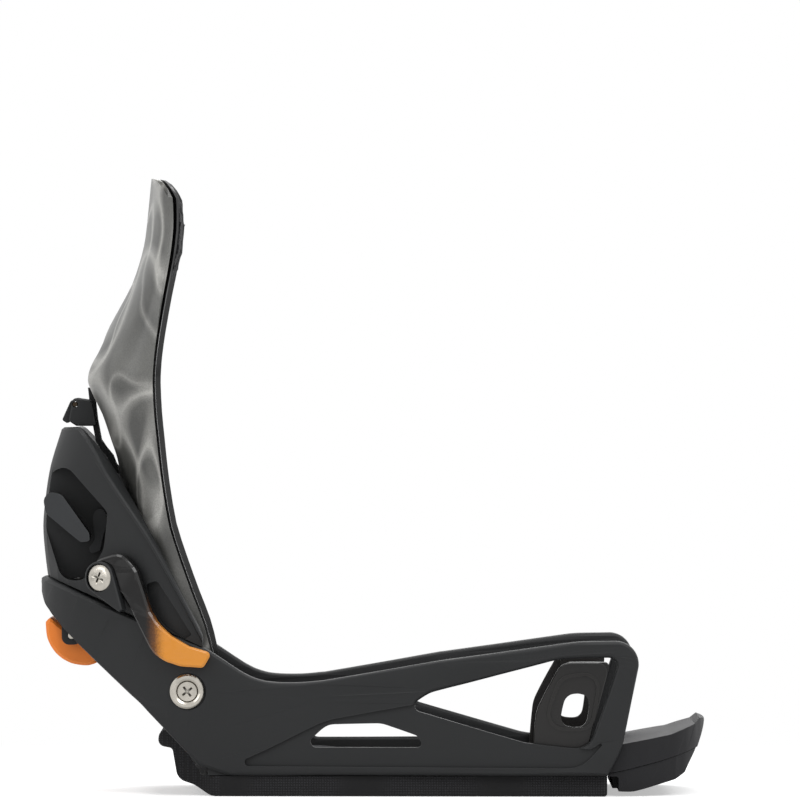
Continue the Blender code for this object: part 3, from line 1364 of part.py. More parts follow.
def toe_hook_screw(name, side):
    toe = RAIL_FOOT_X
    outer = hook_face()
    top = FLOOR_BOTTOM + FLOOR_THICK + 4.2 * MM + GAP
    screw = turned(name, [
        (0.0, 2.2 * MM), (3.6 * MM, 2.0 * MM), (4.6 * MM, 1.0 * MM), (4.6 * MM, 0.0),
        (2.5 * MM, 0.0), (2.5 * MM, -3.8 * MM), (0.0, -4.0 * MM),
    ], 14)
    place = Vector((toe - 21.7 * MM, side * (outer - 11 * MM), top))
    placed(screw, place)
    cut(screw, cross_recess("hook_cross", place + Vector((0, 0, 2.2 * MM)), (0, 0, 1), 2.7 * MM, 1.4 * MM))
    return finish(screw, material("steel", "C9C5BC", 0.3, 1.0))


def ramp_plan(inset=0.0):
    """Plan of the toe ramp: straight sides, clear of the rails, that round into a broad nose."""
    half = HOOP.half_width_at(RAMP_REAR_X) - RAIL_THICK - RAMP_PLAY - inset
    nose, shoulder = RAMP_NOSE_X - inset, RAIL_FOOT_X + 9 * MM
    right = [Vector((RAMP_REAR_X - 2 * MM, -half)), Vector((shoulder - 5 * MM, -half))]
    for k in range(9):
        angle = 0.5 * math.pi * k / 8
        right.append(Vector((
            shoulder + (nose - shoulder) * math.sin(angle) ** 0.8,
            -half * max(math.cos(angle), 0.0) ** 0.8,
        )))
    return right + [Vector((p.x, -p.y)) for p in reversed(right[:-1])]


RAMP_BOTTOM = 2.3 * MM


def seam_line(x, lift):
    """Side-view seam between the ramp's tread and its block."""
    line = smooth_line([
        (RAMP_REAR_X, 10.4 * MM), (RAIL_FOOT_X, 10.6 * MM), (115 * MM, 13.8 * MM),
        (124 * MM, 16.0 * MM), (RAMP_NOSE_X - 4.6 * MM, 21.6 * MM), (RAMP_NOSE_X, 23.4 * MM),
    ])
    return line(x) + lift


def toe_ramp_tread(parent):
    nose = RAMP_NOSE_X
    stops = [RAIL_FOOT_X + 1 * MM, 108 * MM, 116 * MM, 124 * MM, 133 * MM, nose - 3.9 * MM]
    lower = [Vector((x, seam_line(x, GAP / 2))) for x in stops]
    rear_foot = Vector((RAIL_FOOT_X + 1 * MM, FLOOR_BOTTOM + FLOOR_THICK + GAP))
    upper = [
        Vector((nose, 33.0 * MM)), Vector((nose - 0.7 * MM, 34.7 * MM)), Vector((nose - 2.8 * MM, 35.2 * MM)),
        Vector((nose - 5.4 * MM, 32.6 * MM)), Vector((129.7 * MM, 28.4 * MM)), Vector((107.6 * MM, 24.2 * MM)),
        Vector((RAMP_REAR_X + 3 * MM, 22.6 * MM)), Vector((RAMP_REAR_X, 21.0 * MM)),
        Vector((RAMP_REAR_X, FLOOR_BOTTOM + FLOOR_THICK + GAP)), rear_foot,
    ]
    tread = side_solid("toe_ramp_tread", lower + upper, -70 * MM, 70 * MM)
    keep(tread, plan_solid("ramp_plan_upper", ramp_plan(), 0, 60 * MM))
    return finish(tread, material("ramp_black", "2A2A2C", 0.7), parent)


def toe_ramp_block(parent):
    nose = RAMP_NOSE_X
    stops = [nose - 4.7 * MM, 133 * MM, 124 * MM, 116 * MM, 108 * MM, RAIL_FOOT_X + 1 * MM]
    upper = [Vector((x, seam_line(x, -GAP / 2))) for x in stops]
    lower = [
        Vector((RAIL_FOOT_X + 1 * MM, 9.2 * MM)), Vector((104.4 * MM, 9.2 * MM)),
        Vector((105.3 * MM, 8.4 * MM)), Vector((105.3 * MM, RAMP_BOTTOM)), Vector((112.4 * MM, RAMP_BOTTOM)),
        Vector((131.6 * MM, 7.6 * MM)), Vector((nose - 10.2 * MM, 10.6 * MM)),
    ]
    body = side_solid("toe_ramp_block", upper + lower, -70 * MM, 70 * MM)
    keep(body, plan_solid("ramp_plan_lower", ramp_plan(0.8 * MM), 0, 60 * MM))
    inside = HOOP.half_width_at(RAMP_REAR_X) - RAIL_THICK - 9 * MM
    join(body, block("ramp_tongue", (RAIL_FOOT_X + 2.6 * MM, -inside, 3.4 * MM), (108 * MM, inside, 9.6 * MM)))
    return finish(body, material("ramp_black", "2A2A2C", 0.7), parent)


# ---------------------------------------------------------------- pads and stance disc


def base_pad():
    """The rubber pad under the baseplate, which climbs behind the heel."""
    top = FLOOR_BOTTOM - GAP
    rear = -107.6 * MM
    side = rounded([
        (rear, 22.8 * MM, 3.2 * MM),
        (-100.6 * MM, 21.6 * MM, 2 * MM),
        (-98.2 * MM, 7.4 * MM, 6 * MM),
        (-90.5 * MM, 5.0 * MM, 6 * MM),
        (-82.5 * MM, 0.0, 7 * MM),
        (RAIL_FOOT_X, 0.0, 1.5 * MM),
        (RAIL_FOOT_X, top, 0),
        (FLOOR_REAR_X - 3.0 * MM, top, 1 * MM),
        (-92.5 * MM, 18.0 * MM, 3 * MM),
        (-95.5 * MM, 29.8 * MM, 2 * MM),
        (rear + 1.0 * MM, 29.8 * MM, 3.2 * MM),
    ])
    pad = side_solid("base_pad", side, -70 * MM, 70 * MM)
    heel = HEEL_HALF_WIDTH - RAIL_THICK - 4.5 * MM
    half = HOOP.half_width_at(0.0) - 1.0 * MM
    plan = rounded([
        (-109 * MM, -heel + 8 * MM, 8 * MM), (-88 * MM, -heel, 6 * MM), (-80 * MM, -HEEL_HALF_WIDTH + 2 * MM, 6 * MM),
        (RAIL_FOOT_X + 2 * MM, -half, 3 * MM), (RAIL_FOOT_X + 2 * MM, half, 3 * MM),
        (-80 * MM, HEEL_HALF_WIDTH - 2 * MM, 6 * MM), (-88 * MM, heel, 6 * MM), (-109 * MM, heel - 8 * MM, 8 * MM),
    ])
    keep(pad, plan_solid("pad_plan", plan, -5 * MM, 60 * MM))
    cut(pad, plan_solid("pad_hole", ring(TOOTH_TIP + 3 * MM, 40), -5 * MM, 40 * MM))
    return finish(pad, material("rubber_black", "303133", 0.85))


def footbed(name, inner_x, outer_x):
    """One half of the foam bed on the floor, hollowed round the disc."""
    inside = RAIL_THICK + 2.0 * MM
    places = [inner_x + (outer_x - inner_x) * k / 3 for k in range(4)]
    right = [(x, -(HOOP.half_width_at(x) - inside), 3 * MM) for x in places]
    left = [(x, -y, r) for x, y, r in reversed(right)]
    turn = right + left if outer_x > inner_x else left + right
    floor = FLOOR_BOTTOM + FLOOR_THICK + GAP
    bed = plan_solid(name, rounded(turn), floor, floor + BED_THICK, edge=0.8 * MM)
    cut(bed, plan_solid("bed_hollow", ring(DISC_RADIUS + 1.5 * MM, 48), 0, 60 * MM))
    return finish(bed, material("footbed_foam", "26272A", 0.9))


def stance_disc(parent):
    """A flanged disc: its teeth mesh with the floor's, and four slots take the board's screws."""
    floor_top = FLOOR_BOTTOM + FLOOR_THICK
    disc = plan_solid("stance_disc", tooth_ring(TOOTH_TIP - TOOTH_PLAY, TOOTH_ROOT - TOOTH_PLAY),
                      FLOOR_BOTTOM + 0.4 * MM, floor_top + 0.6 * MM)
    recess = DISC_SLOT_PITCH * math.sqrt(0.5) + 8.8 * MM
    body = turned("disc_body", [
        (0.0, floor_top + 1.4 * MM), (recess, floor_top + 1.4 * MM), (recess + 2 * MM, floor_top + 3.2 * MM),
        (DISC_RADIUS - 2.0 * MM, floor_top + 3.2 * MM), (DISC_RADIUS, floor_top + 1.6 * MM),
        (DISC_RADIUS, floor_top + GAP), (DISC_BOSS_RADIUS, floor_top + GAP), (DISC_BOSS_RADIUS, 0.0), (0.0, 0.0),
    ], 40)
    join(disc, frozen(body))
    for name, x, y in disc_screw_places():
        half = DISC_SLOT_LENGTH / 2 - DISC_SCREW_RADIUS
        radius = DISC_SCREW_RADIUS + RUN
        slot = rounded([
            (x - half - radius, y - radius, radius), (x + half + radius, y - radius, radius),
            (x + half + radius, y + radius, radius), (x - half - radius, y + radius, radius),
        ], step=36.0)
        cut(disc, plan_solid(f"slot_{name}", slot, -2 * MM, 40 * MM))
    return finish(disc, material("disc_black", "38393B", 0.55), parent)


def disc_screw_places():
    half = DISC_SLOT_PITCH / 2
    return [
        (f"disc_screw_{place}_{name}", x, side * half)
        for place, x in (("rear", -half), ("front", half)) for name, side in SIDES
    ]


def disc_screw(name, x, y, parent):
    seat = FLOOR_BOTTOM + FLOOR_THICK + 1.4 * MM + GAP
    screw = turned(name, [
        (0.0, 3.4 * MM), (4.6 * MM, 3.0 * MM), (6.0 * MM, 1.8 * MM), (8.0 * MM, 1.4 * MM), (8.0 * MM, 0.0),
        (DISC_SCREW_RADIUS, 0.0), (DISC_SCREW_RADIUS, 0.8 * MM - seat), (0.0, 0.4 * MM - seat),
    ], 12)
    placed(screw, Vector((x, y, seat)))
    cut(screw, cross_recess(f"{name}_cross", (x, y, seat + 3.4 * MM), (0, 0, 1), 3.4 * MM, 1.8 * MM))
    return finish(screw, material("steel", "C9C5BC", 0.3, 1.0), parent)


# ---------------------------------------------------------------- assembly


def main():
    clear_scene()
    baseplate()
    heel_housing()
    base_pad()
    footbed("footbed_heel", -14 * MM, FLOOR_REAR_X + 2 * MM)
    footbed("footbed_toe", 14 * MM, RAIL_FOOT_X - 38 * MM)
    latch_shaft()
    claw_spring()
    rear_lever_pin()
    for name, side in SIDES:
        toe_hook(f"toe_hook_{name}", side)
        toe_hook_screw(f"toe_hook_screw_{name}", side)
        ear_bolt(f"ear_bolt_{name}", side)
        ear_washer(f"ear_washer_{name}", side)
        ear_nut(f"ear_nut_{name}", side)
        toggle_spring(f"toggle_spring_{name}", side)

    fold = joint_empty("highback_fold", PIVOT)
    highback(fold)
    highback_pad(fold)
    lean_rail(fold)
    lean = joint_empty("lean_slide", Vector((LEAN_LOW.x, 0, LEAN_LOW.y)))
    lean_block(lean)
    lean_pin(lean)
    lean_lever(joint_empty("lean_lever_flip", LEAN_LEVER_AXIS))

    release = joint_empty("release_lever_pull", lever_frame()[0])
    release_lever(release)
    lever_hub(release)
    lever_screw(release)
    works = joint_empty("toggle_turn", TOGGLE_AXIS)
    toggle_pin(works)
    claws = joint_empty("claw_swing", CLAW_AXIS)
    latch_claw(claws)
    for name, side in SIDES:
        toggle(works, f"toggle_{name}", side)
        latch_crank(claws, f"latch_crank_{name}", side)

    rear_lever(joint_empty("rear_lever_flip", REAR_LEVER_AXIS))
    ramp = joint_empty("toe_ramp_slide", Vector((RAMP_REAR_X, 0, FLOOR_BOTTOM)))
    toe_ramp_tread(ramp)
    toe_ramp_block(ramp)
    disc = joint_empty("stance_turn", Vector((0, 0, 0)))
    stance_disc(disc)
    for name, x, y in disc_screw_places():
        disc_screw(name, x, y, disc)


main()
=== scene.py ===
"""Visual model of a step-in snowboard binding for the right foot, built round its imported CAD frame.

Every rigid CAD node keeps its size. Its facets are rounded off in a smooth copy, which takes the finish of
the real piece. The soft, printed, wound and repeated pieces are built here. Metres throughout, +X towards
the toe, +Y towards the inner side of the foot, +Z up.
"""

import json
import logging
import math
from abc import ABC, abstractmethod
from collections.abc import Sequence
from dataclasses import dataclass, fields, replace
from enum import Enum

import bmesh
import bpy
import numpy as np
from mathutils import Matrix, Vector
from mathutils.bvhtree import BVHTree
from mathutils.kdtree import KDTree

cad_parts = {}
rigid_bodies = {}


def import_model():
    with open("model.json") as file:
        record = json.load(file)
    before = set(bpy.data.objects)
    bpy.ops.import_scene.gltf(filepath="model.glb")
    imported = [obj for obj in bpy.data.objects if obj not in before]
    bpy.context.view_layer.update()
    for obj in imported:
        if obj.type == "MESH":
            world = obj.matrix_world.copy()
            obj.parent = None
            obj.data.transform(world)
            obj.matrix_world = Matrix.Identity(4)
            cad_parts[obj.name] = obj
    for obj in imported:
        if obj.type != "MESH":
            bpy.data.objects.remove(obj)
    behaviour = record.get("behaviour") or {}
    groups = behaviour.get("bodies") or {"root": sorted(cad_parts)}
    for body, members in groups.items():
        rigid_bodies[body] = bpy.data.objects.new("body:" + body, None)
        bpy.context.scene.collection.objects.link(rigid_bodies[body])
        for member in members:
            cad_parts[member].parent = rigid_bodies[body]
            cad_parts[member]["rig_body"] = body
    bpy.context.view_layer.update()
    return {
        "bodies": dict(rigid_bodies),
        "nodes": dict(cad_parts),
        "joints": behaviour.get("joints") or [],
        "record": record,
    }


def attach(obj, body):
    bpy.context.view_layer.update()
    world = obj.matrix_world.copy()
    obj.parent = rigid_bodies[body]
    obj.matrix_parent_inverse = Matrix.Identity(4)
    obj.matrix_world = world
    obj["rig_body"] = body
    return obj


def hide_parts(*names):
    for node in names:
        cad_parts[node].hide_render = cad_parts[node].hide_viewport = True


MM = 0.001
TINY = 1e-20  # stands in for a length of nothing where something is divided by it
WELD = 0.002 * MM  # corners no further apart than this are one corner
SLIVER = 0.001 * MM  # a face thinner than this is taken out
SHARP_DEGREES = 33.0  # an edge between facets that turns further than this stays sharp
SEAM_FACING = 0.3  # how squarely a pad's surface faces the seam where the seam presses it, as a cosine
LOG = logging.getLogger("step_in_binding")

Object = bpy.types.Object
Mesh = bpy.types.Mesh
Tree = bpy.types.NodeTree
Node = bpy.types.Node
Socket = bpy.types.NodeSocket
Place = tuple[float, float, float]
Values = dict[str | int, object]


# ---------------------------------------------------------------- colours and nodes


def srgb(colour: str) -> tuple[float, float, float, float]:
    """Turns an sRGB hex colour to the linear colour that shaders take.

    Args:
        colour: six hex digits, such as "2E2F31".

    Returns:
        Linear red, green and blue, and an alpha of 1.
    """
    channels = [int(colour[i : i + 2], 16) / 255 for i in (0, 2, 4)]
    lit = [c / 12.92 if c <= 0.04045 else ((c + 0.055) / 1.055) ** 2.4 for c in channels]
    return (lit[0], lit[1], lit[2], 1.0)


def shade(colour: str, factor: float) -> str:
    """Makes an sRGB hex colour lighter or darker.

    Args:
        colour: six hex digits.
        factor: what each channel is multiplied by.

    Returns:
        Six hex digits.
    """
    return "".join(f"{min(round(int(colour[i : i + 2], 16) * factor), 255):02X}" for i in (0, 2, 4))


def plug(tree: Tree, node: Node, given: Values) -> None:
    """Sets a node's properties and inputs, and links its inputs.

    Args:
        tree: the node's tree.
        node: the node.
        given: values by the name of a property, or by the name or number of an input. An output is
            linked to its input, and a node stands for its first output in use. A colour ramp takes its
            stops: places from 0 to 1, each with its sRGB hex colour.
    """
    for key, value in given.items():
        if isinstance(value, Node):
            value = next(output for output in value.outputs if not output.is_unavailable)
        if isinstance(value, Socket):
            tree.links.new(value, node.inputs[key])
        elif key == "color_ramp":
            elements = node.color_ramp.elements
            while len(elements) < len(value):
                elements.new(0.5)
            for element, (position, colour) in zip(elements, value):
                element.position, element.color = position, srgb(colour)
        elif isinstance(key, str) and hasattr(node, key):
            setattr(node, key, value)
        else:
            node.inputs[key].default_value = value


def add(tree: Tree, kind: str, given: Values | None = None) -> Node:
    """Adds a node with its settings and links.

    Args:
        tree: the shader or geometry tree that takes the node.
        kind: the node's type name.
        given: its properties and inputs, as plug takes them.

    Returns:
        The new node.
    """
    node = tree.nodes.new(kind)
    plug(tree, node, given or {})
    return node


def relief(tree: Tree, *layers: tuple[Node, float]) -> Node:
    """Stacks heights from 0 to 1 as bumps of real depth.

    Args:
        tree: the material's tree.
        layers: each height with its depth.

    Returns:
        The node that holds the normal of them all.
    """
    under: Values = {}
    for height, depth in layers:
        bump = add(tree, "ShaderNodeBump", {"Strength": 1.0, "Distance": depth, "Height": height, **under})
        under = {"Normal": bump}
    return bump


def ripple(tree: Tree, along: Node | Socket, period: float) -> Node:
    """Makes waves.

    Args:
        tree: the material's tree.
        along: how far along the waves a point lies.
        period: how far it is from crest to crest.

    Returns:
        The node that holds the waves, from -1 to 1.
    """
    turned = add(tree, "ShaderNodeMath", {"operation": "MULTIPLY", 0: along, 1: math.tau / period})
    return add(tree, "ShaderNodeMath", {"operation": "SINE", 0: turned})


# ---------------------------------------------------------------- finishes


class Grain(Enum):
    """Grades of a spark-eroded mould: depth and spacing, drawn as coarse as they need to show."""

    FINE = (0.010 * MM, 0.45 * MM)
    MEDIUM = (0.020 * MM, 0.60 * MM)
    COARSE = (0.034 * MM, 0.85 * MM)


@dataclass(frozen=True)
class Finish(ABC):
    """A real material and how its surface was made: its slot in the record, its name and its nodes."""

    slot: str
    name: str

    @abstractmethod
    def surface(self, tree: Tree, place: Socket) -> Values:
        """Builds the nodes of the surface.

        Args:
            tree: the material's tree.
            place: Object coordinates, in metres.

        Returns:
            What the shader's inputs take, by name.
        """

    def material(self) -> bpy.types.Material:
        """Returns the material, which is made on its first use."""
        made = bpy.data.materials.get(self.name)
        if made is None:
            made = bpy.data.materials.new(self.name)
            made.use_nodes = True
            tree = made.node_tree
            place = add(tree, "ShaderNodeTexCoord").outputs["Object"]
            plug(tree, tree.nodes["Principled BSDF"], self.surface(tree, place))
        return made


@dataclass(frozen=True)
class MouldedPlastic(Finish):
    """Injection-moulded plastic out of a spark-eroded mould.

    The grain breaks the light up into a soft sheen, slow flow marks shift its tone, the edges are painted
    a shade lighter as a painted highlight, and the hollows are painted darker as painted shade.
    """

    colour: str
    # colour of the painted highlight on the edges
    worn: str
    roughness: float = 0.52
    grain: Grain = Grain.MEDIUM
    coat: float = 0.0
    specular: float = 0.28
    flow: float = 38.0 * MM
    # how far in from an edge the painted highlight reaches
    rub: float = 0.6 * MM
    # how far the painted shade in the hollows looks out, and how dark it makes them
    hollow_reach: float = 16.0 * MM
    hollow: float = 0.3

    def surface(self, tree: Tree, place: Socket) -> Values:
        """Builds the grain, the flow marks, the painted edge highlight and the painted shade in the hollows.

        Args:
            tree: the material's tree.
            place: Object coordinates, in metres.

        Returns:
            What the shader's inputs take, by name.
        """
        depth, spacing = self.grain.value
        grain = add(tree, "ShaderNodeTexNoise", {
            "Scale": 1 / spacing, "Detail": 3.0, "Roughness": 0.6, "Vector": place,
        })
        flow = add(tree, "ShaderNodeTexNoise", {"Scale": 1 / self.flow, "Detail": 2.0, "Vector": place})
        body = add(tree, "ShaderNodeValToRGB", {
            "Fac": flow, "color_ramp": [(0.3, self.colour), (0.75, shade(self.colour, 1.1))],
        })
        # painted highlight: the edges are painted a shade lighter where the bevelled normal turns from the
        # true one
        eased = add(tree, "ShaderNodeBevel", {"samples": 4, "Radius": self.rub})
        facing = add(tree, "ShaderNodeNewGeometry").outputs["Normal"]
        level = add(tree, "ShaderNodeVectorMath", {"operation": "DOT_PRODUCT", 0: eased, 1: facing})
        edge_highlight_mask = add(tree, "ShaderNodeMapRange", {
            "Value": level, "From Min": 0.995, "From Max": 0.85, "To Max": 0.5,
        })
        tint = add(tree, "ShaderNodeMix", {"data_type": "RGBA", 0: edge_highlight_mask, 6: body, 7: srgb(self.worn)})
        # painted shade: the hollows are painted darker by ambient occlusion
        ambient_occlusion = add(tree, "ShaderNodeAmbientOcclusion", {"samples": 6, "Distance": self.hollow_reach})
        painted_shade_factor = add(tree, "ShaderNodeMapRange", {
            "Value": ambient_occlusion.outputs["AO"], "From Min": 0.15, "From Max": 0.75, "To Min": self.hollow,
        })
        gloss = add(tree, "ShaderNodeMapRange", {
            "Value": flow, "To Min": self.roughness - 0.05, "To Max": self.roughness + 0.07,
        })
        return {
            "Base Color": add(tree, "ShaderNodeVectorMath", {"operation": "SCALE", 0: tint, "Scale": painted_shade_factor}),
            "Roughness": gloss, "IOR": 1.5, "Specular IOR Level": self.specular,
            "Coat Weight": self.coat, "Coat Roughness": 0.08, "Coat IOR": 1.4,
            "Normal": relief(tree, (grain, depth)),
        }


@dataclass(frozen=True)
class FadedLacquer(Finish):
    """Gloss lacquer over moulded nylon, sprayed so that one colour fades into the other along the piece.

    The clear coat gives sharp highlights over the slightly soft base, and the overspray of the fade shows
    as fine specks where the two colours meet.
    """

    start: str
    middle: str
    end: str
    start_x: float
    end_x: float
    speck: float = 0.7 * MM
    overspray: float = 1.6 * MM
    peel: float = 2.2 * MM
    peel_depth: float = 0.02 * MM

    def surface(self, tree: Tree, place: Socket) -> Values:
        """Builds the fade with its overspray, and the coat with its faint orange peel.

        Args:
            tree: the material's tree.
            place: Object coordinates, in metres.

        Returns:
            What the shader's inputs take, by name.
        """
        across = add(tree, "ShaderNodeSeparateXYZ", {0: place}).outputs["X"]
        speck = add(tree, "ShaderNodeTexNoise", {"Scale": 1 / self.speck, "Detail": 2.0, "Vector": place})
        drift = add(tree, "ShaderNodeMapRange", {
            "Value": speck, "To Min": -self.overspray, "To Max": self.overspray,
        })
        along = add(tree, "ShaderNodeMapRange", {
            "interpolation_type": "SMOOTHSTEP", "From Min": self.start_x, "From Max": self.end_x,
            "Value": add(tree, "ShaderNodeMath", {"operation": "ADD", 0: across, 1: drift}),
        })
        colour = add(tree, "ShaderNodeValToRGB", {
            "Fac": along, "color_ramp": [(0.0, self.start), (0.45, self.middle), (1.0, self.end)],
        })
        peel = add(tree, "ShaderNodeTexNoise", {"Scale": 1 / self.peel, "Detail": 1.0, "Vector": place})
        return {
            "Base Color": colour, "Roughness": 0.3, "Specular IOR Level": 0.2,
            "Coat Weight": 0.75, "Coat Roughness": 0.06, "Coat IOR": 1.4,
            "Normal": relief(tree, (peel, self.peel_depth)),
        }


@dataclass(frozen=True)
class FilmPrint(Finish):
    """Satin film print on a nylon shell: pale veins that wander and meet over a dark, fine-speckled silver.

    Each vein has a thin crest in a soft halo and fades out here and there, so that the veins make open
    loops. The colour is made lighter towards the top, and the trimmed edge of the shell shows as a pale line.
    """

    dark: str
    ground: str
    vein: str
    edge: str
    loops: tuple[tuple[float, float], ...] = ((25.0 * MM, 0.52), (40.0 * MM, 0.46))
    bands: tuple[tuple[float, float], ...] = ((0.03, 0.35), (0.085, 0.5))
    bend: float = 48.0 * MM
    warp: float = 14.0 * MM
    gap: float = 40.0 * MM
    cloud: float = 24.0 * MM
    speck: float = 0.5 * MM
    speck_depth: float = 0.008 * MM
    low_z: float = 60 * MM
    high_z: float = 285 * MM

    def bent(self, tree: Tree, place: Socket) -> Node:
        """Bends the space that the pattern is drawn in.

        Args:
            tree: the material's tree.
            place: Object coordinates, in metres.

        Returns:
            The node that holds the bent coordinates.
        """
        turned = add(tree, "ShaderNodeMapping", {
            "Vector": place, "Rotation": (0.5, 0.35, 0.6), "Scale": (1.35, 1.0, 0.8),
            "Location": (0.021, 0.064, 0.037),
        })
        warp = add(tree, "ShaderNodeTexNoise", {
            "Scale": 1 / self.bend, "Detail": 1.0, "Roughness": 0.4, "Vector": turned,
        }).outputs["Color"]
        centred = add(tree, "ShaderNodeVectorMath", {"operation": "SUBTRACT", 0: warp, 1: (0.5, 0.5, 0.5)})
        swing = add(tree, "ShaderNodeVectorMath", {"operation": "SCALE", 0: centred, "Scale": self.warp})
        return add(tree, "ShaderNodeVectorMath", {"operation": "ADD", 0: turned, 1: swing})

    def veins(self, tree: Tree, bent: Node) -> Node:
        """Draws the veins as the contour lines of soft fields, which run in loops.

        Each field has its size and the level of its line, and each band its reach and its strength.

        Args:
            tree: the material's tree.
            bent: the bent coordinates.

        Returns:
            The node that holds how much vein ink there is, from 0 to 1.
        """
        total: Node | float = 0.0
        for size, level in self.loops:
            field = add(tree, "ShaderNodeTexNoise", {"Scale": 1 / size, "Detail": 0.0, "Vector": bent})
            off = add(tree, "ShaderNodeMath", {"operation": "SUBTRACT", 0: field, 1: level})
            away = add(tree, "ShaderNodeMath", {"operation": "ABSOLUTE", 0: off})
            for reach, strength in self.bands:
                band = add(tree, "ShaderNodeMapRange", {
                    "interpolation_type": "SMOOTHERSTEP", "Value": away,
                    "From Max": reach, "To Min": strength, "To Max": 0.0,
                })
                total = add(tree, "ShaderNodeMath", {"operation": "ADD", 0: total, 1: band})
        gaps = add(tree, "ShaderNodeTexNoise", {"Scale": 1 / self.gap, "Detail": 0.0, "Vector": bent})
        fade = add(tree, "ShaderNodeMapRange", {
            "interpolation_type": "SMOOTHSTEP", "Value": gaps,
            "From Min": 0.34, "From Max": 0.5, "To Min": 0.45,
        })
        return add(tree, "ShaderNodeMath", {"operation": "MULTIPLY", "use_clamp": True, 0: total, 1: fade})

    def surface(self, tree: Tree, place: Socket) -> Values:
        """Builds the veins, the clouds between them, the speckle and the pale edge.

        Args:
            tree: the material's tree.
            place: Object coordinates, in metres.

        Returns:
            What the shader's inputs take, by name.
        """
        bent = self.bent(tree, place)
        cloud = add(tree, "ShaderNodeTexNoise", {"Scale": 1 / self.cloud, "Detail": 2.0, "Vector": bent})
        under = add(tree, "ShaderNodeValToRGB", {
            "Fac": cloud, "color_ramp": [(0.34, self.dark), (0.66, self.ground)],
        })
        painted = add(tree, "ShaderNodeMix", {
            "data_type": "RGBA", 0: self.veins(tree, bent), 6: under, 7: srgb(self.vein),
        })
        speck = add(tree, "ShaderNodeTexNoise", {"Scale": 1 / self.speck, "Detail": 1.0, "Vector": place})
        grains = add(tree, "ShaderNodeMapRange", {
            "Value": speck, "From Min": 0.3, "From Max": 0.7, "To Min": 0.82, "To Max": 1.16,
        })
        rise = add(tree, "ShaderNodeMapRange", {
            "Value": add(tree, "ShaderNodeSeparateXYZ", {0: place}).outputs["Z"],
            "From Min": self.low_z, "From Max": self.high_z, "To Min": 0.86, "To Max": 1.3,
        })
        tone = add(tree, "ShaderNodeMath", {"operation": "MULTIPLY", 0: grains, 1: rise})
        salted = add(tree, "ShaderNodeMix", {
            "data_type": "RGBA", "blend_type": "MULTIPLY", 0: 1.0, 6: painted, 7: tone,
        })
        trimmed = add(tree, "ShaderNodeMapRange", {
            "Value": add(tree, "ShaderNodeNewGeometry").outputs["Pointiness"],
            "From Min": 0.56, "From Max": 0.7, "To Max": 0.8,
        })
        return {
            "Base Color": add(tree, "ShaderNodeMix", {
                "data_type": "RGBA", 0: trimmed, 6: salted, 7: srgb(self.edge),
            }),
            "Roughness": 0.4, "Metallic": 0.1, "Coat Weight": 0.2, "Coat Roughness": 0.3,
            "Normal": relief(tree, (speck, self.speck_depth)),
        }


@dataclass(frozen=True)
class GrippyRubber(Finish):
    """Moulded thermoplastic rubber with a fine square grid that keeps the binding from creeping.

    It is matte and drinks the light. The grid shows as rows of tiny pads, with painted shade in the lines
    between them.
    """

    colour: str
    pitch: float
    depth: float
    dust: float = 12.0 * MM

    def surface(self, tree: Tree, place: Socket) -> Values:
        """Builds the grid, with painted shade in its lines, and a dusty variation of tone.

        Args:
            tree: the material's tree.
            place: Object coordinates, in metres.

        Returns:
            What the shader's inputs take, by name.
        """
        dust = add(tree, "ShaderNodeTexNoise", {"Scale": 1 / self.dust, "Detail": 4.0, "Vector": place})
        body = add(tree, "ShaderNodeValToRGB", {
            "Fac": dust, "color_ramp": [(0.3, self.colour), (0.8, shade(self.colour, 1.25))],
        })
        grid: Node | float = 1.0
        for along in add(tree, "ShaderNodeSeparateXYZ", {0: place}).outputs:
            row = add(tree, "ShaderNodeMapRange", {
                "interpolation_type": "SMOOTHSTEP", "Value": ripple(tree, along, self.pitch),
                "From Min": -0.9, "From Max": 0.1,
            })
            grid = add(tree, "ShaderNodeMath", {"operation": "MINIMUM", 0: grid, 1: row})
        # painted shade: the lines between the pads are painted darker
        grid_shaded = add(tree, "ShaderNodeMix", {
            "data_type": "RGBA", 0: grid, 6: srgb(shade(self.colour, 0.6)), 7: body,
        })
        return {
            "Base Color": grid_shaded, "Roughness": 0.78, "Specular IOR Level": 0.25,
            "Normal": relief(tree, (grid, self.depth)),
        }


@dataclass(frozen=True)
class MouldedFoam(Finish):
    """Compression-moulded EVA foam: a closed skin with faint cells, matte, and soft at its edges."""

    colour: str
    cell: float = 0.8 * MM
    cell_depth: float = 0.05 * MM
    cloud: float = 9.0 * MM

    def surface(self, tree: Tree, place: Socket) -> Values:
        """Builds the cells of the skin and the cloudy tone of the foam.

        Args:
            tree: the material's tree.
            place: Object coordinates, in metres.

        Returns:
            What the shader's inputs take, by name.
        """
        cells = add(tree, "ShaderNodeTexVoronoi", {"Scale": 1 / self.cell, "Vector": place})
        cloud = add(tree, "ShaderNodeTexNoise", {"Scale": 1 / self.cloud, "Detail": 3.0, "Vector": place})
        body = add(tree, "ShaderNodeValToRGB", {
            "Fac": cloud, "color_ramp": [(0.3, shade(self.colour, 0.92)), (0.75, shade(self.colour, 1.2))],
        })
        return {
            "Base Color": body, "Roughness": 0.86, "Specular IOR Level": 0.25, "Sheen Weight": 0.08,
            "Normal": relief(tree, (cells, self.cell_depth)),
        }


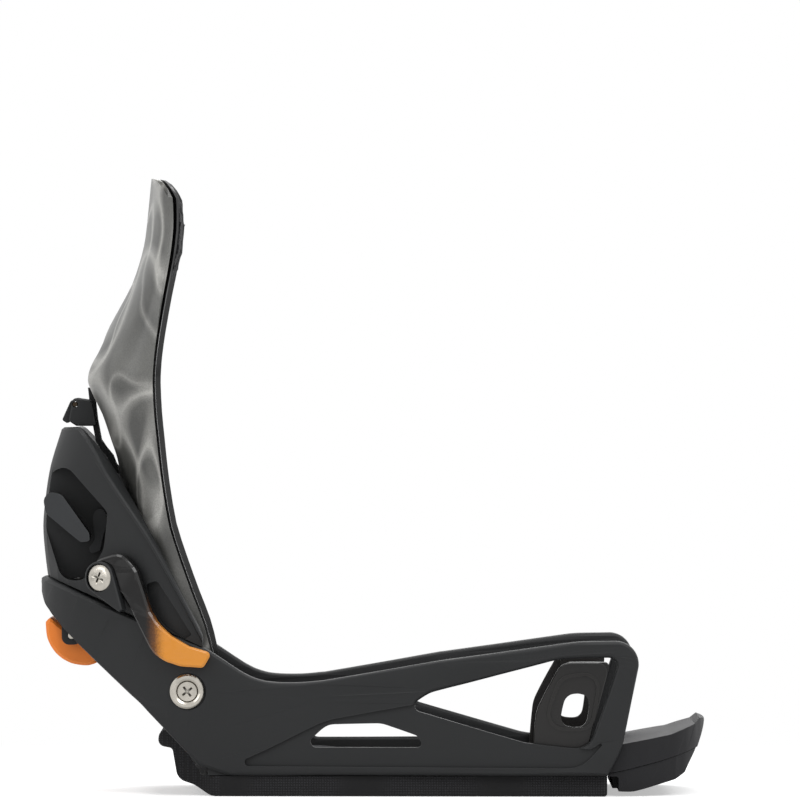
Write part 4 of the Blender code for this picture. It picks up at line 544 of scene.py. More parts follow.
@dataclass(frozen=True)
class KnitMesh(Finish):
    """Warp-knitted spacer mesh over foam: rows of small raised loops, with painted shade in the gaps and a
    painted highlight on the crests, and a soft sheen.
    """

    colour: str
    loop: float
    slant: float = 0.62
    loop_depth: float = 0.25 * MM
    yarn: float = 0.5 * MM
    yarn_depth: float = 0.04 * MM

    def surface(self, tree: Tree, place: Socket) -> Values:
        """Builds the knitted loops from two crossed waves across the pad, their painted shade and highlight,
        and the yarn's own tone.

        Args:
            tree: the material's tree.
            place: Object coordinates, in metres.

        Returns:
            What the shader's inputs take, by name.
        """
        parts = add(tree, "ShaderNodeSeparateXYZ", {0: place}).outputs
        loops = []
        for slant in (self.slant, -self.slant):
            tilt = add(tree, "ShaderNodeMath", {"operation": "MULTIPLY", 0: parts["Z"], 1: slant})
            line = add(tree, "ShaderNodeMath", {"operation": "ADD", 0: parts["Y"], 1: tilt})
            loops.append(add(tree, "ShaderNodeMapRange", {
                "Value": ripple(tree, line, self.loop), "From Min": -1.0,
            }))
        height = add(tree, "ShaderNodeMath", {"operation": "MULTIPLY", 0: loops[0], 1: loops[1]})
        yarn = add(tree, "ShaderNodeTexNoise", {"Scale": 1 / self.yarn, "Detail": 2.0, "Vector": place})
        # painted shade and highlight: the gaps between the loops are painted darker and the crests lighter
        gap, crest_highlight = shade(self.colour, 0.55), shade(self.colour, 1.5)
        body = add(tree, "ShaderNodeValToRGB", {
            "Fac": height, "color_ramp": [(0.0, gap), (0.6, self.colour), (1.0, crest_highlight)],
        })
        return {
            "Base Color": body, "Roughness": 0.92, "Specular IOR Level": 0.2,
            "Sheen Weight": 0.12, "Sheen Roughness": 0.5,
            "Normal": relief(tree, (height, self.loop_depth), (yarn, self.yarn_depth)),
        }


@dataclass(frozen=True)
class BareMetal(Finish):
    """Plated or turned metal: a mirror broken by the fine, uneven scratches that tooling and handling leave.

    Its recesses are painted darker, as painted shade.
    """

    colour: str
    roughness: float
    scratch: float = 0.35 * MM
    scratch_depth: float = 0.003 * MM
    patch: float = 3.5 * MM
    recess: float = 1.5 * MM

    def surface(self, tree: Tree, place: Socket) -> Values:
        """Builds drawn-out scratches, a patchy gloss and the painted shade in the recesses.

        Args:
            tree: the material's tree.
            place: Object coordinates, in metres.

        Returns:
            What the shader's inputs take, by name.
        """
        drawn = add(tree, "ShaderNodeMapping", {"Vector": place, "Scale": (1.0, 1.0, 5.0)})
        scratch = add(tree, "ShaderNodeTexNoise", {
            "Scale": 1 / self.scratch, "Detail": 3.0, "Vector": drawn,
        })
        patch = add(tree, "ShaderNodeTexNoise", {"Scale": 1 / self.patch, "Detail": 2.0, "Vector": place})
        gloss = add(tree, "ShaderNodeMapRange", {
            "Value": patch, "From Min": 0.3, "From Max": 0.7,
            "To Min": self.roughness - 0.04, "To Max": self.roughness + 0.08,
        })
        body = add(tree, "ShaderNodeValToRGB", {
            "Fac": patch, "color_ramp": [(0.3, shade(self.colour, 0.93)), (0.7, self.colour)],
        })
        # painted shade: the recesses are painted dark, down to a fifth of the metal's colour
        ambient_occlusion = add(tree, "ShaderNodeAmbientOcclusion", {"samples": 12, "Distance": self.recess})
        recess_shade_mask = add(tree, "ShaderNodeMapRange", {
            "Value": ambient_occlusion.outputs["AO"], "From Min": 0.3, "From Max": 0.75, "To Min": 0.9, "To Max": 0.0,
        })
        return {
            "Base Color": add(tree, "ShaderNodeMix", {
                "data_type": "RGBA", 0: recess_shade_mask, 6: body, 7: srgb(shade(self.colour, 0.2)),
            }),
            "Roughness": gloss, "Metallic": 1.0, "Normal": relief(tree, (scratch, self.scratch_depth)),
        }


# The second colour of each moulded plastic is painted on its edges as a painted highlight.
NYLON_BLACK = MouldedPlastic("nylon_black", "glass_filled_nylon_moulded_black", "1E1F20", "3C3D3E", 0.5)
NYLON_HOOK = MouldedPlastic(
    "hook_black", "glass_filled_nylon_moulded_hook_black", "151312", "34322F", 0.3, Grain.FINE, 0.2, 0.32
)
NYLON_RAMP = MouldedPlastic(
    "ramp_black", "nylon_moulded_ramp_black", "1C1C1E", "38383A", 0.55, Grain.COARSE, 0.0, 0.22
)
NYLON_DISC = MouldedPlastic(
    "disc_black", "glass_filled_nylon_moulded_disc", "2B2C2E", "4C4D4F", 0.5, Grain.COARSE
)
NYLON_GREY = MouldedPlastic("nylon_grey", "acetal_moulded_grey", "2C2D2F", "48494B", 0.42, Grain.FINE)
# the orange takes only a light painted shade in its hollows
NYLON_ORANGE = MouldedPlastic(
    "orange_nylon", "nylon_moulded_orange", "DF7C31", "EBA25F", 0.38, Grain.FINE, hollow=0.85
)
CORE_BLACK = MouldedPlastic(
    "core_black", "polycarbonate_moulded_gloss_black", "0C0C0D", "2A2A2C", 0.22, Grain.FINE, 0.7, 0.3
)
LEVER_LACQUER = FadedLacquer(
    "lever_gloss", "gloss_lacquer_fade_on_nylon", "0B0A0A", "6A3F16", "D98D30", -113 * MM, -103 * MM
)
HIGHBACK_PRINT = FilmPrint(
    "highback_silver", "satin_film_print_on_nylon", "464644", "5F5F5C", "A09F9B", "C0BFBB"
)
PAD_RUBBER = GrippyRubber("rubber_black", "moulded_rubber_grid", "29292B", 1.2 * MM, 0.2 * MM)
FOOTBED_FOAM = MouldedFoam("footbed_foam", "compression_moulded_eva_foam", "222326")
PAD_KNIT = KnitMesh("pad_knit", "spacer_knit_over_foam", "222325", 1.3 * MM)
STEEL = BareMetal("steel", "zinc_plated_steel", "C4BFB6", 0.2)
STEEL_DARK = BareMetal("steel_dark", "black_oxide_steel", "4A4B4D", 0.36)
BRASS = BareMetal("brass", "aged_brass", "3E362C", 0.45)


# ---------------------------------------------------------------- meshes


def new_object(name: str, mesh: bpy.types.ID) -> Object:
    """Links a new object at the origin.

    Args:
        name: its name.
        mesh: its mesh or curve.

    Returns:
        The object.
    """
    obj = bpy.data.objects.new(name, mesh)
    bpy.context.scene.collection.objects.link(obj)
    return obj


def mesh_object(name: str, points: Sequence, faces: Sequence, smooth: bool = True) -> Object:
    """Makes an object from points and faces.

    Args:
        name: its name.
        points: corners in metres.
        faces: lists of corner numbers.
        smooth: whether its faces are shaded smooth.

    Returns:
        The object.
    """
    mesh = bpy.data.meshes.new(name)
    mesh.from_pydata([tuple(p) for p in points], [], [tuple(f) for f in faces])
    mesh.update()
    if smooth:
        mesh.shade_smooth()
    return new_object(name, mesh)


def applied(obj: Object) -> Object:
    """Turns an object with its modifiers into a plain mesh object of the same name.

    Args:
        obj: the object, which is removed.

    Returns:
        The plain object, at the origin.
    """
    bpy.context.view_layer.update()
    ready = obj.evaluated_get(bpy.context.evaluated_depsgraph_get())
    mesh = bpy.data.meshes.new_from_object(ready)
    mesh.transform(obj.matrix_world)
    name = obj.name
    bpy.data.objects.remove(obj, do_unlink=True)
    mesh.name = name
    return new_object(name, mesh)


def unit(vectors: np.ndarray) -> np.ndarray:
    """Returns rows of vectors made one unit long, where they have a length."""
    return vectors / np.maximum(np.linalg.norm(vectors, axis=1, keepdims=True), TINY)


@dataclass(frozen=True)
class Smoother:
    """Rounds a closed triangle mesh off along its own curvature, and keeps its flats and sharp edges.

    Each triangle becomes four. A new point on an edge lies on the arc that leaves both ends square to
    their normals, and on a sharp edge on the arc along that edge.
    """

    levels: int = 1
    sharp_degrees: float = SHARP_DEGREES
    corner_degrees: float = 38.0

    def linked(self, points: np.ndarray, faces: np.ndarray) -> dict[str, np.ndarray]:
        """Works out edges, sharpness and the normals of each smooth fan of corners.

        Args:
            points: n x 3 corners.
            faces: m x 3 corner numbers.

        Returns:
            Arrays by name: half (the two half-edges of each edge), edge (edge of each half-edge), sharp,
            normal (one for each corner, in half-edge order), ends (both corners of each edge) and after
            (the half-edge that follows each one).
        """
        count = len(faces)
        ends = np.concatenate([faces[:, [0, 1]], faces[:, [1, 2]], faces[:, [2, 0]]])
        _, edge, uses = np.unique(np.sort(ends, axis=1), axis=0, return_inverse=True, return_counts=True)
        edge = edge.reshape(-1)
        order = np.argsort(edge, kind="stable")
        first = np.concatenate([[0], np.cumsum(uses)[:-1]])
        half = np.stack([order[first], order[np.minimum(first + 1, first + uses - 1)]], axis=1)
        cross = np.cross(points[faces[:, 1]] - points[faces[:, 0]], points[faces[:, 2]] - points[faces[:, 0]])
        facing = unit(cross)
        turn = np.einsum("ij,ij->i", facing[half[:, 0] % count], facing[half[:, 1] % count])
        sharp = (turn < math.cos(math.radians(self.sharp_degrees))) | (uses != 2)
        label = np.arange(3 * count)
        after = (label + count) % (3 * count)
        smooth = half[~sharp]
        left = np.concatenate([smooth[:, 0], after[smooth[:, 0]]])
        right = np.concatenate([after[smooth[:, 1]], smooth[:, 1]])
        while True:
            low = np.minimum(label[left], label[right])
            before = label.copy()
            np.minimum.at(label, left, low)
            np.minimum.at(label, right, low)
            label = label[label]
            if np.array_equal(before, label):
                break
        total = np.zeros((3 * count, 3))
        np.add.at(total, label, np.tile(cross, (3, 1)))
        return {
            "half": half, "edge": edge, "sharp": sharp, "normal": unit(total[label]),
            "ends": ends[half[:, 0]], "after": after,
        }

    def crease_tangents(self, points: np.ndarray, ends: np.ndarray) -> dict[int, np.ndarray]:
        """Finds the direction of each line of sharp edges where it runs on through a corner.

        Args:
            points: n x 3 corners.
            ends: both corners of each sharp edge.

        Returns:
            A unit direction for each corner that has one.
        """
        near: dict[int, list[int]] = {}
        for a, b in ends.tolist():
            near.setdefault(a, []).append(b)
            near.setdefault(b, []).append(a)
        limit = math.cos(math.radians(self.corner_degrees))
        found = {}
        for corner, others in near.items():
            if len(others) != 2:
                continue
            back, ahead = points[corner] - points[others[0]], points[others[1]] - points[corner]
            sizes = np.linalg.norm(back) * np.linalg.norm(ahead)
            if sizes > 0 and back @ ahead > limit * sizes:
                through = back + ahead
                found[corner] = through / np.linalg.norm(through)
        return found

    def split(self, points: np.ndarray, faces: np.ndarray) -> tuple[np.ndarray, np.ndarray]:
        """Splits each triangle into four round its curved edge middles.

        Args:
            points: n x 3 corners.
            faces: m x 3 corner numbers.

        Returns:
            The new corners and the new triangles' corner numbers.
        """
        data = self.linked(points, faces)
        a, b = data["ends"][:, 0], data["ends"][:, 1]
        along = points[b] - points[a]
        reach = np.linalg.norm(along, axis=1, keepdims=True)
        first = data["half"][:, 0]
        leave, arrive = (
            unit(along - np.einsum("ij,ij->i", along, normal)[:, None] * normal) * reach
            for normal in (data["normal"][first], data["normal"][data["after"][first]])
        )
        creases = np.flatnonzero(data["sharp"])
        tangents = self.crease_tangents(points, data["ends"][creases])
        for k in creases:
            for corner, arm in ((a[k], leave), (b[k], arrive)):
                through = tangents.get(int(corner))
                if through is None:
                    arm[k] = along[k]
                else:
                    arm[k] = through * math.copysign(reach[k, 0], through @ along[k])
        middle = (points[a] + points[b]) / 2 + (leave - arrive) / 8
        p, m = faces.T, len(points) + data["edge"].reshape(3, len(faces))
        made = np.concatenate([
            np.stack(corners, axis=1)
            for corners in ((p[0], m[0], m[2]), (m[0], p[1], m[1]), (m[2], m[1], p[2]), (m[0], m[1], m[2]))
        ])
        return np.concatenate([points, middle]), made

    def object(self, name: str, points: np.ndarray, faces: np.ndarray) -> Object:
        """Makes the rounded object with its normals.

        Args:
            name: its name.
            points: n x 3 corners.
            faces: m x 3 corner numbers.

        Returns:
            The object, at the origin.
        """
        for _ in range(self.levels):
            points, faces = self.split(points, faces)
        obj = mesh_object(name, points, faces)
        normal = self.linked(points, faces)["normal"].reshape(3, -1, 3).transpose(1, 0, 2).reshape(-1, 3)
        obj.data.normals_split_custom_set([tuple(n) for n in normal])
        return obj


def merged_arrays(mesh: Mesh) -> tuple[np.ndarray, np.ndarray]:
    """Reads a mesh of loose triangles as shared corners.

    Args:
        mesh: the mesh, which stays as it is.

    Returns:
        n x 3 corners and m x 3 corner numbers.
    """
    bm = bmesh.new()
    bm.from_mesh(mesh)
    bmesh.ops.remove_doubles(bm, verts=bm.verts, dist=WELD)
    bmesh.ops.dissolve_degenerate(bm, edges=bm.edges, dist=SLIVER)
    bmesh.ops.triangulate(bm, faces=bm.faces)
    bm.verts.ensure_lookup_table()
    points = np.array([v.co for v in bm.verts], float)
    faces = np.array([[v.index for v in f.verts] for f in bm.faces], int)
    bm.free()
    return points, faces


def box_of(obj: Object) -> tuple[Vector, Vector]:
    """Returns the low and the high corner of an object's box."""
    return Vector(obj.bound_box[0]), Vector(obj.bound_box[6])


# ---------------------------------------------------------------- shapes that follow a rule


@dataclass(frozen=True)
class Recipe(ABC):
    """A shape that a Geometry Nodes tree makes. Each field is an input of the tree, under its own name."""

    @abstractmethod
    def shape(self, tree: Tree, given: bpy.types.NodeOutputs) -> Node:
        """Builds the nodes up to the finished shape.

        Args:
            tree: the geometry tree.
            given: the outputs of its Group Input, by name.

        Returns:
            The node that holds the shape.
        """

    def object(self, name: str, finish: Finish, start: Mesh | None = None) -> Object:
        """Runs the tree and keeps its result as a plain mesh.

        Args:
            name: the new object's name.
            finish: the finish that the tree sets.
            start: what comes in as the tree's geometry, if it needs any.

        Returns:
            The object, at the origin.
        """
        tree = bpy.data.node_groups.new(f"{name}_tree", "GeometryNodeTree")
        for way in ("INPUT", "OUTPUT"):
            tree.interface.new_socket("Geometry", in_out=way, socket_type="NodeSocketGeometry")
        kinds = {float: "NodeSocketFloat", int: "NodeSocketInt", tuple: "NodeSocketVector"}
        sizes = {field.name: getattr(self, field.name) for field in fields(self)}
        keys = {
            label: tree.interface.new_socket(label, in_out="INPUT", socket_type=kinds[type(size)]).identifier
            for label, size in sizes.items()
        }
        shape = self.shape(tree, add(tree, "NodeGroupInput").outputs)
        whole = add(tree, "GeometryNodeRealizeInstances", {0: shape})
        dressed = add(tree, "GeometryNodeSetMaterial", {"Geometry": whole, "Material": finish.material()})
        add(tree, "NodeGroupOutput", {0: dressed})
        obj = new_object(name, start or bpy.data.meshes.new(name))
        modifier = obj.modifiers.new("shape", "NODES")
        modifier.node_group = tree
        for label, size in sizes.items():
            modifier[keys[label]] = size
        return applied(obj)


@dataclass(frozen=True)
class Coil(Recipe):
    """A torsion spring round an axis along Y: an open helix of round wire."""

    start: Place
    radius: float
    wire_radius: float
    turns: float
    width: float

    def shape(self, tree: Tree, given: bpy.types.NodeOutputs) -> Node:
        """Sweeps the wire along the helix and lays it on its axis.

        Args:
            tree: the geometry tree.
            given: the outputs of its Group Input, by name.

        Returns:
            The node that holds the spring.
        """
        helix = add(tree, "GeometryNodeCurveSpiral", {
            "Resolution": 28, "Reverse": True, "Rotations": given["turns"], "Height": given["width"],
            "Start Radius": given["radius"], "End Radius": given["radius"],
        })
        section = add(tree, "GeometryNodeCurvePrimitiveCircle", {
            "Resolution": 12, "Radius": given["wire_radius"],
        })
        wire = add(tree, "GeometryNodeCurveToMesh", {
            "Curve": helix, "Profile Curve": section, "Fill Caps": True,
        })
        laid = add(tree, "GeometryNodeTransform", {
            "Geometry": wire, "Rotation": (-math.pi / 2, 0.0, 0.0), "Translation": given["start"],
        })
        return add(tree, "GeometryNodeSetShadeSmooth", {0: laid})


@dataclass(frozen=True)
class ScrewSquare(Recipe):
    """The screw that comes in, repeated at the four corners of a square."""

    pitch: float

    def shape(self, tree: Tree, given: bpy.types.NodeOutputs) -> Node:
        """Stands the incoming screw at each corner.

        Args:
            tree: the geometry tree.
            given: the outputs of its Group Input, by name.

        Returns:
            The node that holds the four screws.
        """
        square = add(tree, "GeometryNodeMeshGrid", {
            "Vertices X": 2, "Vertices Y": 2, "Size X": given["pitch"], "Size Y": given["pitch"],
        })
        return add(tree, "GeometryNodeInstanceOnPoints", {"Points": square, "Instance": given["Geometry"]})


@dataclass(frozen=True)
class ScaleMarks(Recipe):
    """Raised marks round a rim, each pointing at the middle."""

    middle: Place
    radius: float
    count: int = 36
    mark: Place = (0.9 * MM, 3.2 * MM, 0.9 * MM)

    def shape(self, tree: Tree, given: bpy.types.NodeOutputs) -> Node:
        """Sets a bar on each of the points round the rim.

        Args:
            tree: the geometry tree.
            given: the outputs of its Group Input, by name.

        Returns:
            The node that holds the marks.
        """
        rim = add(tree, "GeometryNodeCurvePrimitiveCircle", {
            "Resolution": given["count"], "Radius": given["radius"],
        })
        points = add(tree, "GeometryNodeCurveToPoints", {"mode": "EVALUATED", 0: rim})
        across = add(tree, "FunctionNodeAlignRotationToVector", {
            "axis": "X", "pivot_axis": "Z", "Vector": points.outputs["Tangent"],
        })
        bar = add(tree, "GeometryNodeMeshCube", {"Size": given["mark"]})
        marks = add(tree, "GeometryNodeInstanceOnPoints", {
            "Points": points, "Instance": bar, "Rotation": across,
        })
        return add(tree, "GeometryNodeTransform", {"Geometry": marks, "Translation": given["middle"]})


@dataclass(frozen=True)
class Stitches(Recipe):
    """A row of lock stitches along the edges that come in: short, thick threads laid end to end."""

    pitch: float = 2.6 * MM
    half: Place = (0.25 * MM, 0.25 * MM, 0.95 * MM)

    def shape(self, tree: Tree, given: bpy.types.NodeOutputs) -> Node:
        """Lays a stitch along the path at each step.

        Args:
            tree: the geometry tree.
            given: the outputs of its Group Input, by name.

        Returns:
            The node that holds the stitches.
        """
        path = add(tree, "GeometryNodeMeshToCurve", {"Mesh": given["Geometry"]})
        steps = add(tree, "GeometryNodeCurveToPoints", {
            "mode": "LENGTH", "Curve": path, "Length": given["pitch"],
        })
        along = add(tree, "FunctionNodeAlignRotationToVector", {
            "axis": "Z", "Vector": steps.outputs["Tangent"],
        })
        thread = add(tree, "GeometryNodeMeshUVSphere", {"Segments": 8, "Rings": 6, "Radius": 1.0})
        laid = add(tree, "GeometryNodeInstanceOnPoints", {
            "Points": steps, "Instance": thread, "Rotation": along, "Scale": given["half"],
        })
        return add(tree, "GeometryNodeSetShadeSmooth", {0: laid})


@dataclass(frozen=True)
class Pips(Recipe):
    """Low six-sided pads, one on each point that comes in."""

    foot: float = 3.0 * MM
    top: float = 2.6 * MM
    height: float = 1.4 * MM

    def shape(self, tree: Tree, given: bpy.types.NodeOutputs) -> Node:
        """Sets a pad on each point.

        Args:
            tree: the geometry tree.
            given: the outputs of its Group Input, by name.

        Returns:
            The node that holds the pads.
        """
        pad = add(tree, "GeometryNodeMeshCone", {
            "Vertices": 6, "Radius Bottom": given["foot"], "Radius Top": given["top"],
            "Depth": given["height"],
        })
        return add(tree, "GeometryNodeInstanceOnPoints", {"Points": given["Geometry"], "Instance": pad})


# ---------------------------------------------------------------- padding


@dataclass(frozen=True)
class Padding:
    """Foam under its cover: a pad that swells between its seams, where it doesn't rest on what carries it."""

    rests: Place
    voxel: float = 2.0 * MM
    shrink: float = 0.7 * MM
    swell: float = 1.5 * MM
    pressure: float = 4.0
    frames: int = 20
    hold: float = 1.6

    def plump(self, name: str, points: np.ndarray, faces: np.ndarray) -> Object:
        """Swells a solid by simulated cloth, which stands for its cover.

        Args:
            name: the new object's name.
            points: n x 3 corners of the solid.
            faces: m x 3 corner numbers.

        Returns:
            The pad, at the origin.
        """
        obj = mesh_object(name, points, faces)
        remesh = obj.modifiers.new("cover", "REMESH")
        remesh.mode = "VOXEL"
        remesh.voxel_size = self.voxel
        obj = applied(obj)
        before = self.places(obj.data)
        normals = np.empty(before.size)
        obj.data.vertex_normals.foreach_get("vector", normals)
        normals = normals.reshape(-1, 3)
        free = np.clip(1.0 - self.hold * np.maximum(normals @ np.array(self.rests), 0.0), 0.0, 1.0)[:, None]
        start = before - normals * self.shrink * free
        obj.data.vertices.foreach_set("co", start.ravel())
        obj.data.update()
        move = self.simulated(obj) - start
        reach = np.linalg.norm(move, axis=1, keepdims=True)
        move *= free * np.minimum(1.0, self.swell / np.maximum(reach, TINY))
        obj.data.vertices.foreach_set("co", (start + move).ravel())
        obj.data.update()
        smooth = obj.modifiers.new("soft", "SUBSURF")
        smooth.levels = smooth.render_levels = 1
        obj = applied(obj)
        obj.data.shade_smooth()
        return obj

    @staticmethod
    def places(mesh: Mesh) -> np.ndarray:
        """Reads where a mesh's corners are.

        Args:
            mesh: the mesh.

        Returns:
            n x 3 corners.
        """
        flat = np.empty(3 * len(mesh.vertices))
        mesh.vertices.foreach_get("co", flat)
        return flat.reshape(-1, 3)

    def simulated(self, obj: Object) -> np.ndarray:
        """Runs the cloth and takes it off again.

        Args:
            obj: the pad.

        Returns:
            Where its corners end up.
        """
        cloth = obj.modifiers.new("air", "CLOTH")
        cloth.settings.use_pressure = True
        cloth.settings.uniform_pressure_force = self.pressure
        cloth.settings.effector_weights.gravity = 0.0
        cloth.point_cache.frame_start, cloth.point_cache.frame_end = 1, self.frames
        scene = bpy.context.scene
        for frame in range(1, self.frames + 1):
            scene.frame_set(frame)
        ready = obj.evaluated_get(bpy.context.evaluated_depsgraph_get())
        found = self.places(ready.data)
        obj.modifiers.remove(cloth)
        scene.frame_set(1)
        return found


def seam_groove(obj: Object, path: Sequence[Vector], facing: Vector, width: float, depth: float) -> None:
    """Presses a sewn channel into a pad's face.

    Args:
        obj: the pad.
        path: points along the seam.
        facing: the way that the pad's face looks.
        width: how far the channel reaches from its middle.
        depth: how deep it is in the middle.
    """
    tree = KDTree(len(path))
    for number, point in enumerate(path):
        tree.insert(point, number)
    tree.balance()
    for vertex in obj.data.vertices:
        away = tree.find(vertex.co)[2]
        if away < width and vertex.normal @ facing > SEAM_FACING:
            vertex.co -= facing * depth * (0.5 + 0.5 * math.cos(math.pi * away / width))
    obj.data.update()


def laid_on(obj: Object, places: Sequence[Vector], facing: Vector, lift: float) -> list[Vector]:
    """Drops points on to a piece against the way that it faces.

    Args:
        obj: the piece.
        places: points in front of it.
        facing: the way that its face looks.
        lift: how far above the face they stop.

    Returns:
        The points that meet it.
    """
    surface = BVHTree.FromObject(obj, bpy.context.evaluated_depsgraph_get())
    hits = [surface.ray_cast(place, -facing)[0] for place in places]
    return [hit + facing * lift for hit in hits if hit is not None]


# ---------------------------------------------------------------- sub-assemblies


@dataclass
class Assembly(ABC):
    """A group of pieces that a maker would put together on one bench."""

    frame: dict

    @abstractmethod
    def build(self) -> None:
        """Builds and dresses the group's pieces."""

    def body_of(self, node: str) -> str:
        """Returns the name of the body that a CAD node moves with."""
        return self.frame["nodes"][node]["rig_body"]

    def settle(self, obj: Object, finish: Finish, body: str, nodes: Sequence[str] = ()) -> Object:
        """Gives a finished piece its material and body.

        Args:
            obj: the piece, with its place in its mesh.
            finish: its finish.
            body: the body that it moves with.
            nodes: the CAD nodes that it stands for.

        Returns:
            The piece.
        """
        obj.data.materials.clear()
        obj.data.materials.append(finish.material())
        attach(obj, body)
        if nodes:
            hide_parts(*nodes)
        LOG.info("%s: %d faces, rides on %s", obj.name, len(obj.data.polygons), body)
        return obj

    def smooth(self, node: str, finish: Finish, levels: int = 1, sharp: float = SHARP_DEGREES) -> Object:
        """Puts a rounded copy in place of a CAD node.

        Args:
            node: the CAD node.
            finish: its finish.
            levels: how often each facet is split.
            sharp: the least angle in degrees that stays a sharp edge.

        Returns:
            The piece, named after the node.
        """
        points, faces = merged_arrays(self.frame["nodes"][node].data)
        obj = Smoother(levels, sharp).object(f"{node}_skin", points, faces)
        return self.settle(obj, finish, self.body_of(node), [node])


@dataclass
class Base(Assembly):
    """Baseplate with its hoop and rails, the rubber pad under it and the foam bed on it."""

    plate_sharp: float = 50.0
    pip_pitch: float = 8.0 * MM
    pip_margin: float = 9.0 * MM
    pips: Pips = Pips()
    foam: Padding = Padding((0.0, 0.0, -1.0), 2.5 * MM, 0.5 * MM, 0.8 * MM)

    def build(self) -> None:
        """Builds the baseplate, the pad and both halves of the bed."""
        self.smooth("baseplate", NYLON_BLACK, 2, self.plate_sharp)
        self.smooth("base_pad", PAD_RUBBER, 1)
        for node in ("footbed_heel", "footbed_toe"):
            self.bed(node)

    def bed(self, node: str) -> None:
        """Builds one half of the bed, with rows of grip pads moulded on it.

        Args:
            node: its CAD node.
        """
        bed = self.foam.plump(f"{node}_foam", *merged_arrays(self.frame["nodes"][node].data))
        self.settle(bed, FOOTBED_FOAM, self.body_of(node), [node])
        low, high = box_of(bed)
        up = Vector((0, 0, 1))
        rows = math.floor((high.y - low.y) / self.pip_pitch)
        columns = math.floor((high.x - low.x) / self.pip_pitch)
        middle = (low + high) / 2
        places = [
            Vector((
                middle.x + (column - columns / 2 + (row % 2) / 2) * self.pip_pitch,
                middle.y + (row - rows / 2) * self.pip_pitch,
                high.z + self.foam.swell,
            ))
            for row in range(rows + 1) for column in range(columns + 1)
        ]
        inside = [p for p in places if len(laid_on(bed, self.around(p), up, 0.0)) == len(self.around(p))]
        points = laid_on(bed, inside, up, -self.pips.height / 2)
        start = bpy.data.meshes.new(f"{node}_places")
        start.from_pydata(points, [], [])
        self.settle(self.pips.object(f"{node}_pips", FOOTBED_FOAM, start), FOOTBED_FOAM, self.body_of(node))

    def around(self, place: Vector) -> list[Vector]:
        """Returns four points round a place, as far off as a grip pad stays from the bed's edge."""
        return [place + Vector((x, y, 0)) * self.pip_margin for x, y in ((1, 0), (-1, 0), (0, 1), (0, -1))]


@dataclass
class Heel(Assembly):
    """Heel housing with the latch, its cranks, toggle and springs."""

    claw_coil: Coil = Coil((-134.4 * MM, -1.7 * MM, 127.4 * MM), 3.9 * MM, 0.5 * MM, 2.5, 3.4 * MM)
    toggle_coil: Coil = Coil((-156.4 * MM, 9.95 * MM, 134.3 * MM), 2.6 * MM, 0.4 * MM, 2.25, 2.3 * MM)

    def build(self) -> None:
        """Builds the housing and what it holds."""
        self.smooth("heel_housing", NYLON_BLACK, 2)
        for node, finish in (
            ("latch_claw", STEEL_DARK),
            ("latch_shaft", STEEL),
            ("latch_crank_left", NYLON_GREY),
            ("latch_crank_right", NYLON_GREY),
            ("toggle_left", NYLON_GREY),
            ("toggle_right", NYLON_GREY),
            ("toggle_pin", STEEL),
            ("rear_lever", NYLON_ORANGE),
            ("rear_lever_pin", STEEL),
        ):
            self.smooth(node, finish)
        self.spring("claw_spring", self.claw_coil)
        left = self.toggle_coil
        x, y, z = left.start
        self.spring("toggle_spring_left", left)
        self.spring("toggle_spring_right", replace(left, start=(x, -y - left.width, z)))

    def spring(self, node: str, coil: Coil) -> None:
        """Builds a spring.

        Args:
            node: its CAD node.
            coil: its shape.
        """
        self.settle(coil.object(f"{node}_wire", STEEL), STEEL, self.body_of(node), [node])


@dataclass
class Highback(Assembly):
    """Highback shell with its core, pad and lean stop."""

    seam_inset: float = 6.0 * MM
    seam_width: float = 1.8 * MM
    seam_depth: float = 0.7 * MM
    seam_lift: float = 0.1 * MM
    seam_steps: int = 96
    foam: Padding = Padding((-1.0, 0.0, 0.0), 1.8 * MM, 0.8 * MM, 1.2 * MM)
    thread: Stitches = Stitches()

    def build(self) -> None:
        """Builds the shell, the core, the pad and the lean stop."""
        self.smooth("highback_shell", HIGHBACK_PRINT, 2)
        self.smooth("highback_core", CORE_BLACK, 1)
        self.pad()
        for node in ("lean_rail", "lean_block", "lean_lever"):
            self.smooth(node, NYLON_BLACK)
        self.smooth("lean_pin", BRASS)

    def pad(self) -> None:
        """Builds the knitted pad with a stitched seam that runs round its face."""
        node = "highback_pad"
        pad = self.foam.plump("highback_pad_knit", *merged_arrays(self.frame["nodes"][node].data))
        facing = Vector((1, 0, 0))
        low, high = box_of(pad)
        middle, half = (low + high) / 2, (high - low) / 2
        front = [
            Vector((
                high.x + self.foam.swell,
                middle.y + (half.y - self.seam_inset) * squared(math.cos(angle)),
                middle.z + (half.z - self.seam_inset) * squared(math.sin(angle)),
            ))
            for angle in (math.tau * k / self.seam_steps for k in range(self.seam_steps))
        ]
        seam_groove(pad, laid_on(pad, front, facing, 0.0), facing, self.seam_width, self.seam_depth)
        path = laid_on(pad, front, facing, self.seam_lift)
        self.settle(pad, PAD_KNIT, self.body_of(node), [node])
        start = bpy.data.meshes.new("seam_path")
        start.from_pydata(path, [(k, (k + 1) % len(path)) for k in range(len(path))], [])
        stitches = self.thread.object("highback_pad_stitches", PAD_KNIT, start)
        self.settle(stitches, PAD_KNIT, self.body_of(node))


def squared(value: float) -> float:
    """Returns a cosine or sine pushed outwards, so that a circle of them turns a rounded rectangle."""
    return math.copysign(abs(value) ** 0.5, value)


@dataclass
class Release(Assembly):
    """Release lever on the outer side."""

    def build(self) -> None:
        """Builds the lever, its hub plate and its screw."""
        self.smooth("release_lever", LEVER_LACQUER, 2)
        self.smooth("lever_hub", NYLON_BLACK, 2)
        self.smooth("lever_screw", STEEL, 2)


@dataclass
class Toe(Assembly):
    """Toe hooks, toe ramp and their screws."""

    def build(self) -> None:
        """Builds the hooks and the ramp."""
        for side in ("left", "right"):
            self.smooth(f"toe_hook_{side}", NYLON_HOOK, 2)
            self.smooth(f"toe_hook_screw_{side}", STEEL, 2)
        self.smooth("toe_ramp_tread", NYLON_RAMP, 2)
        self.smooth("toe_ramp_block", NYLON_RAMP, 2)


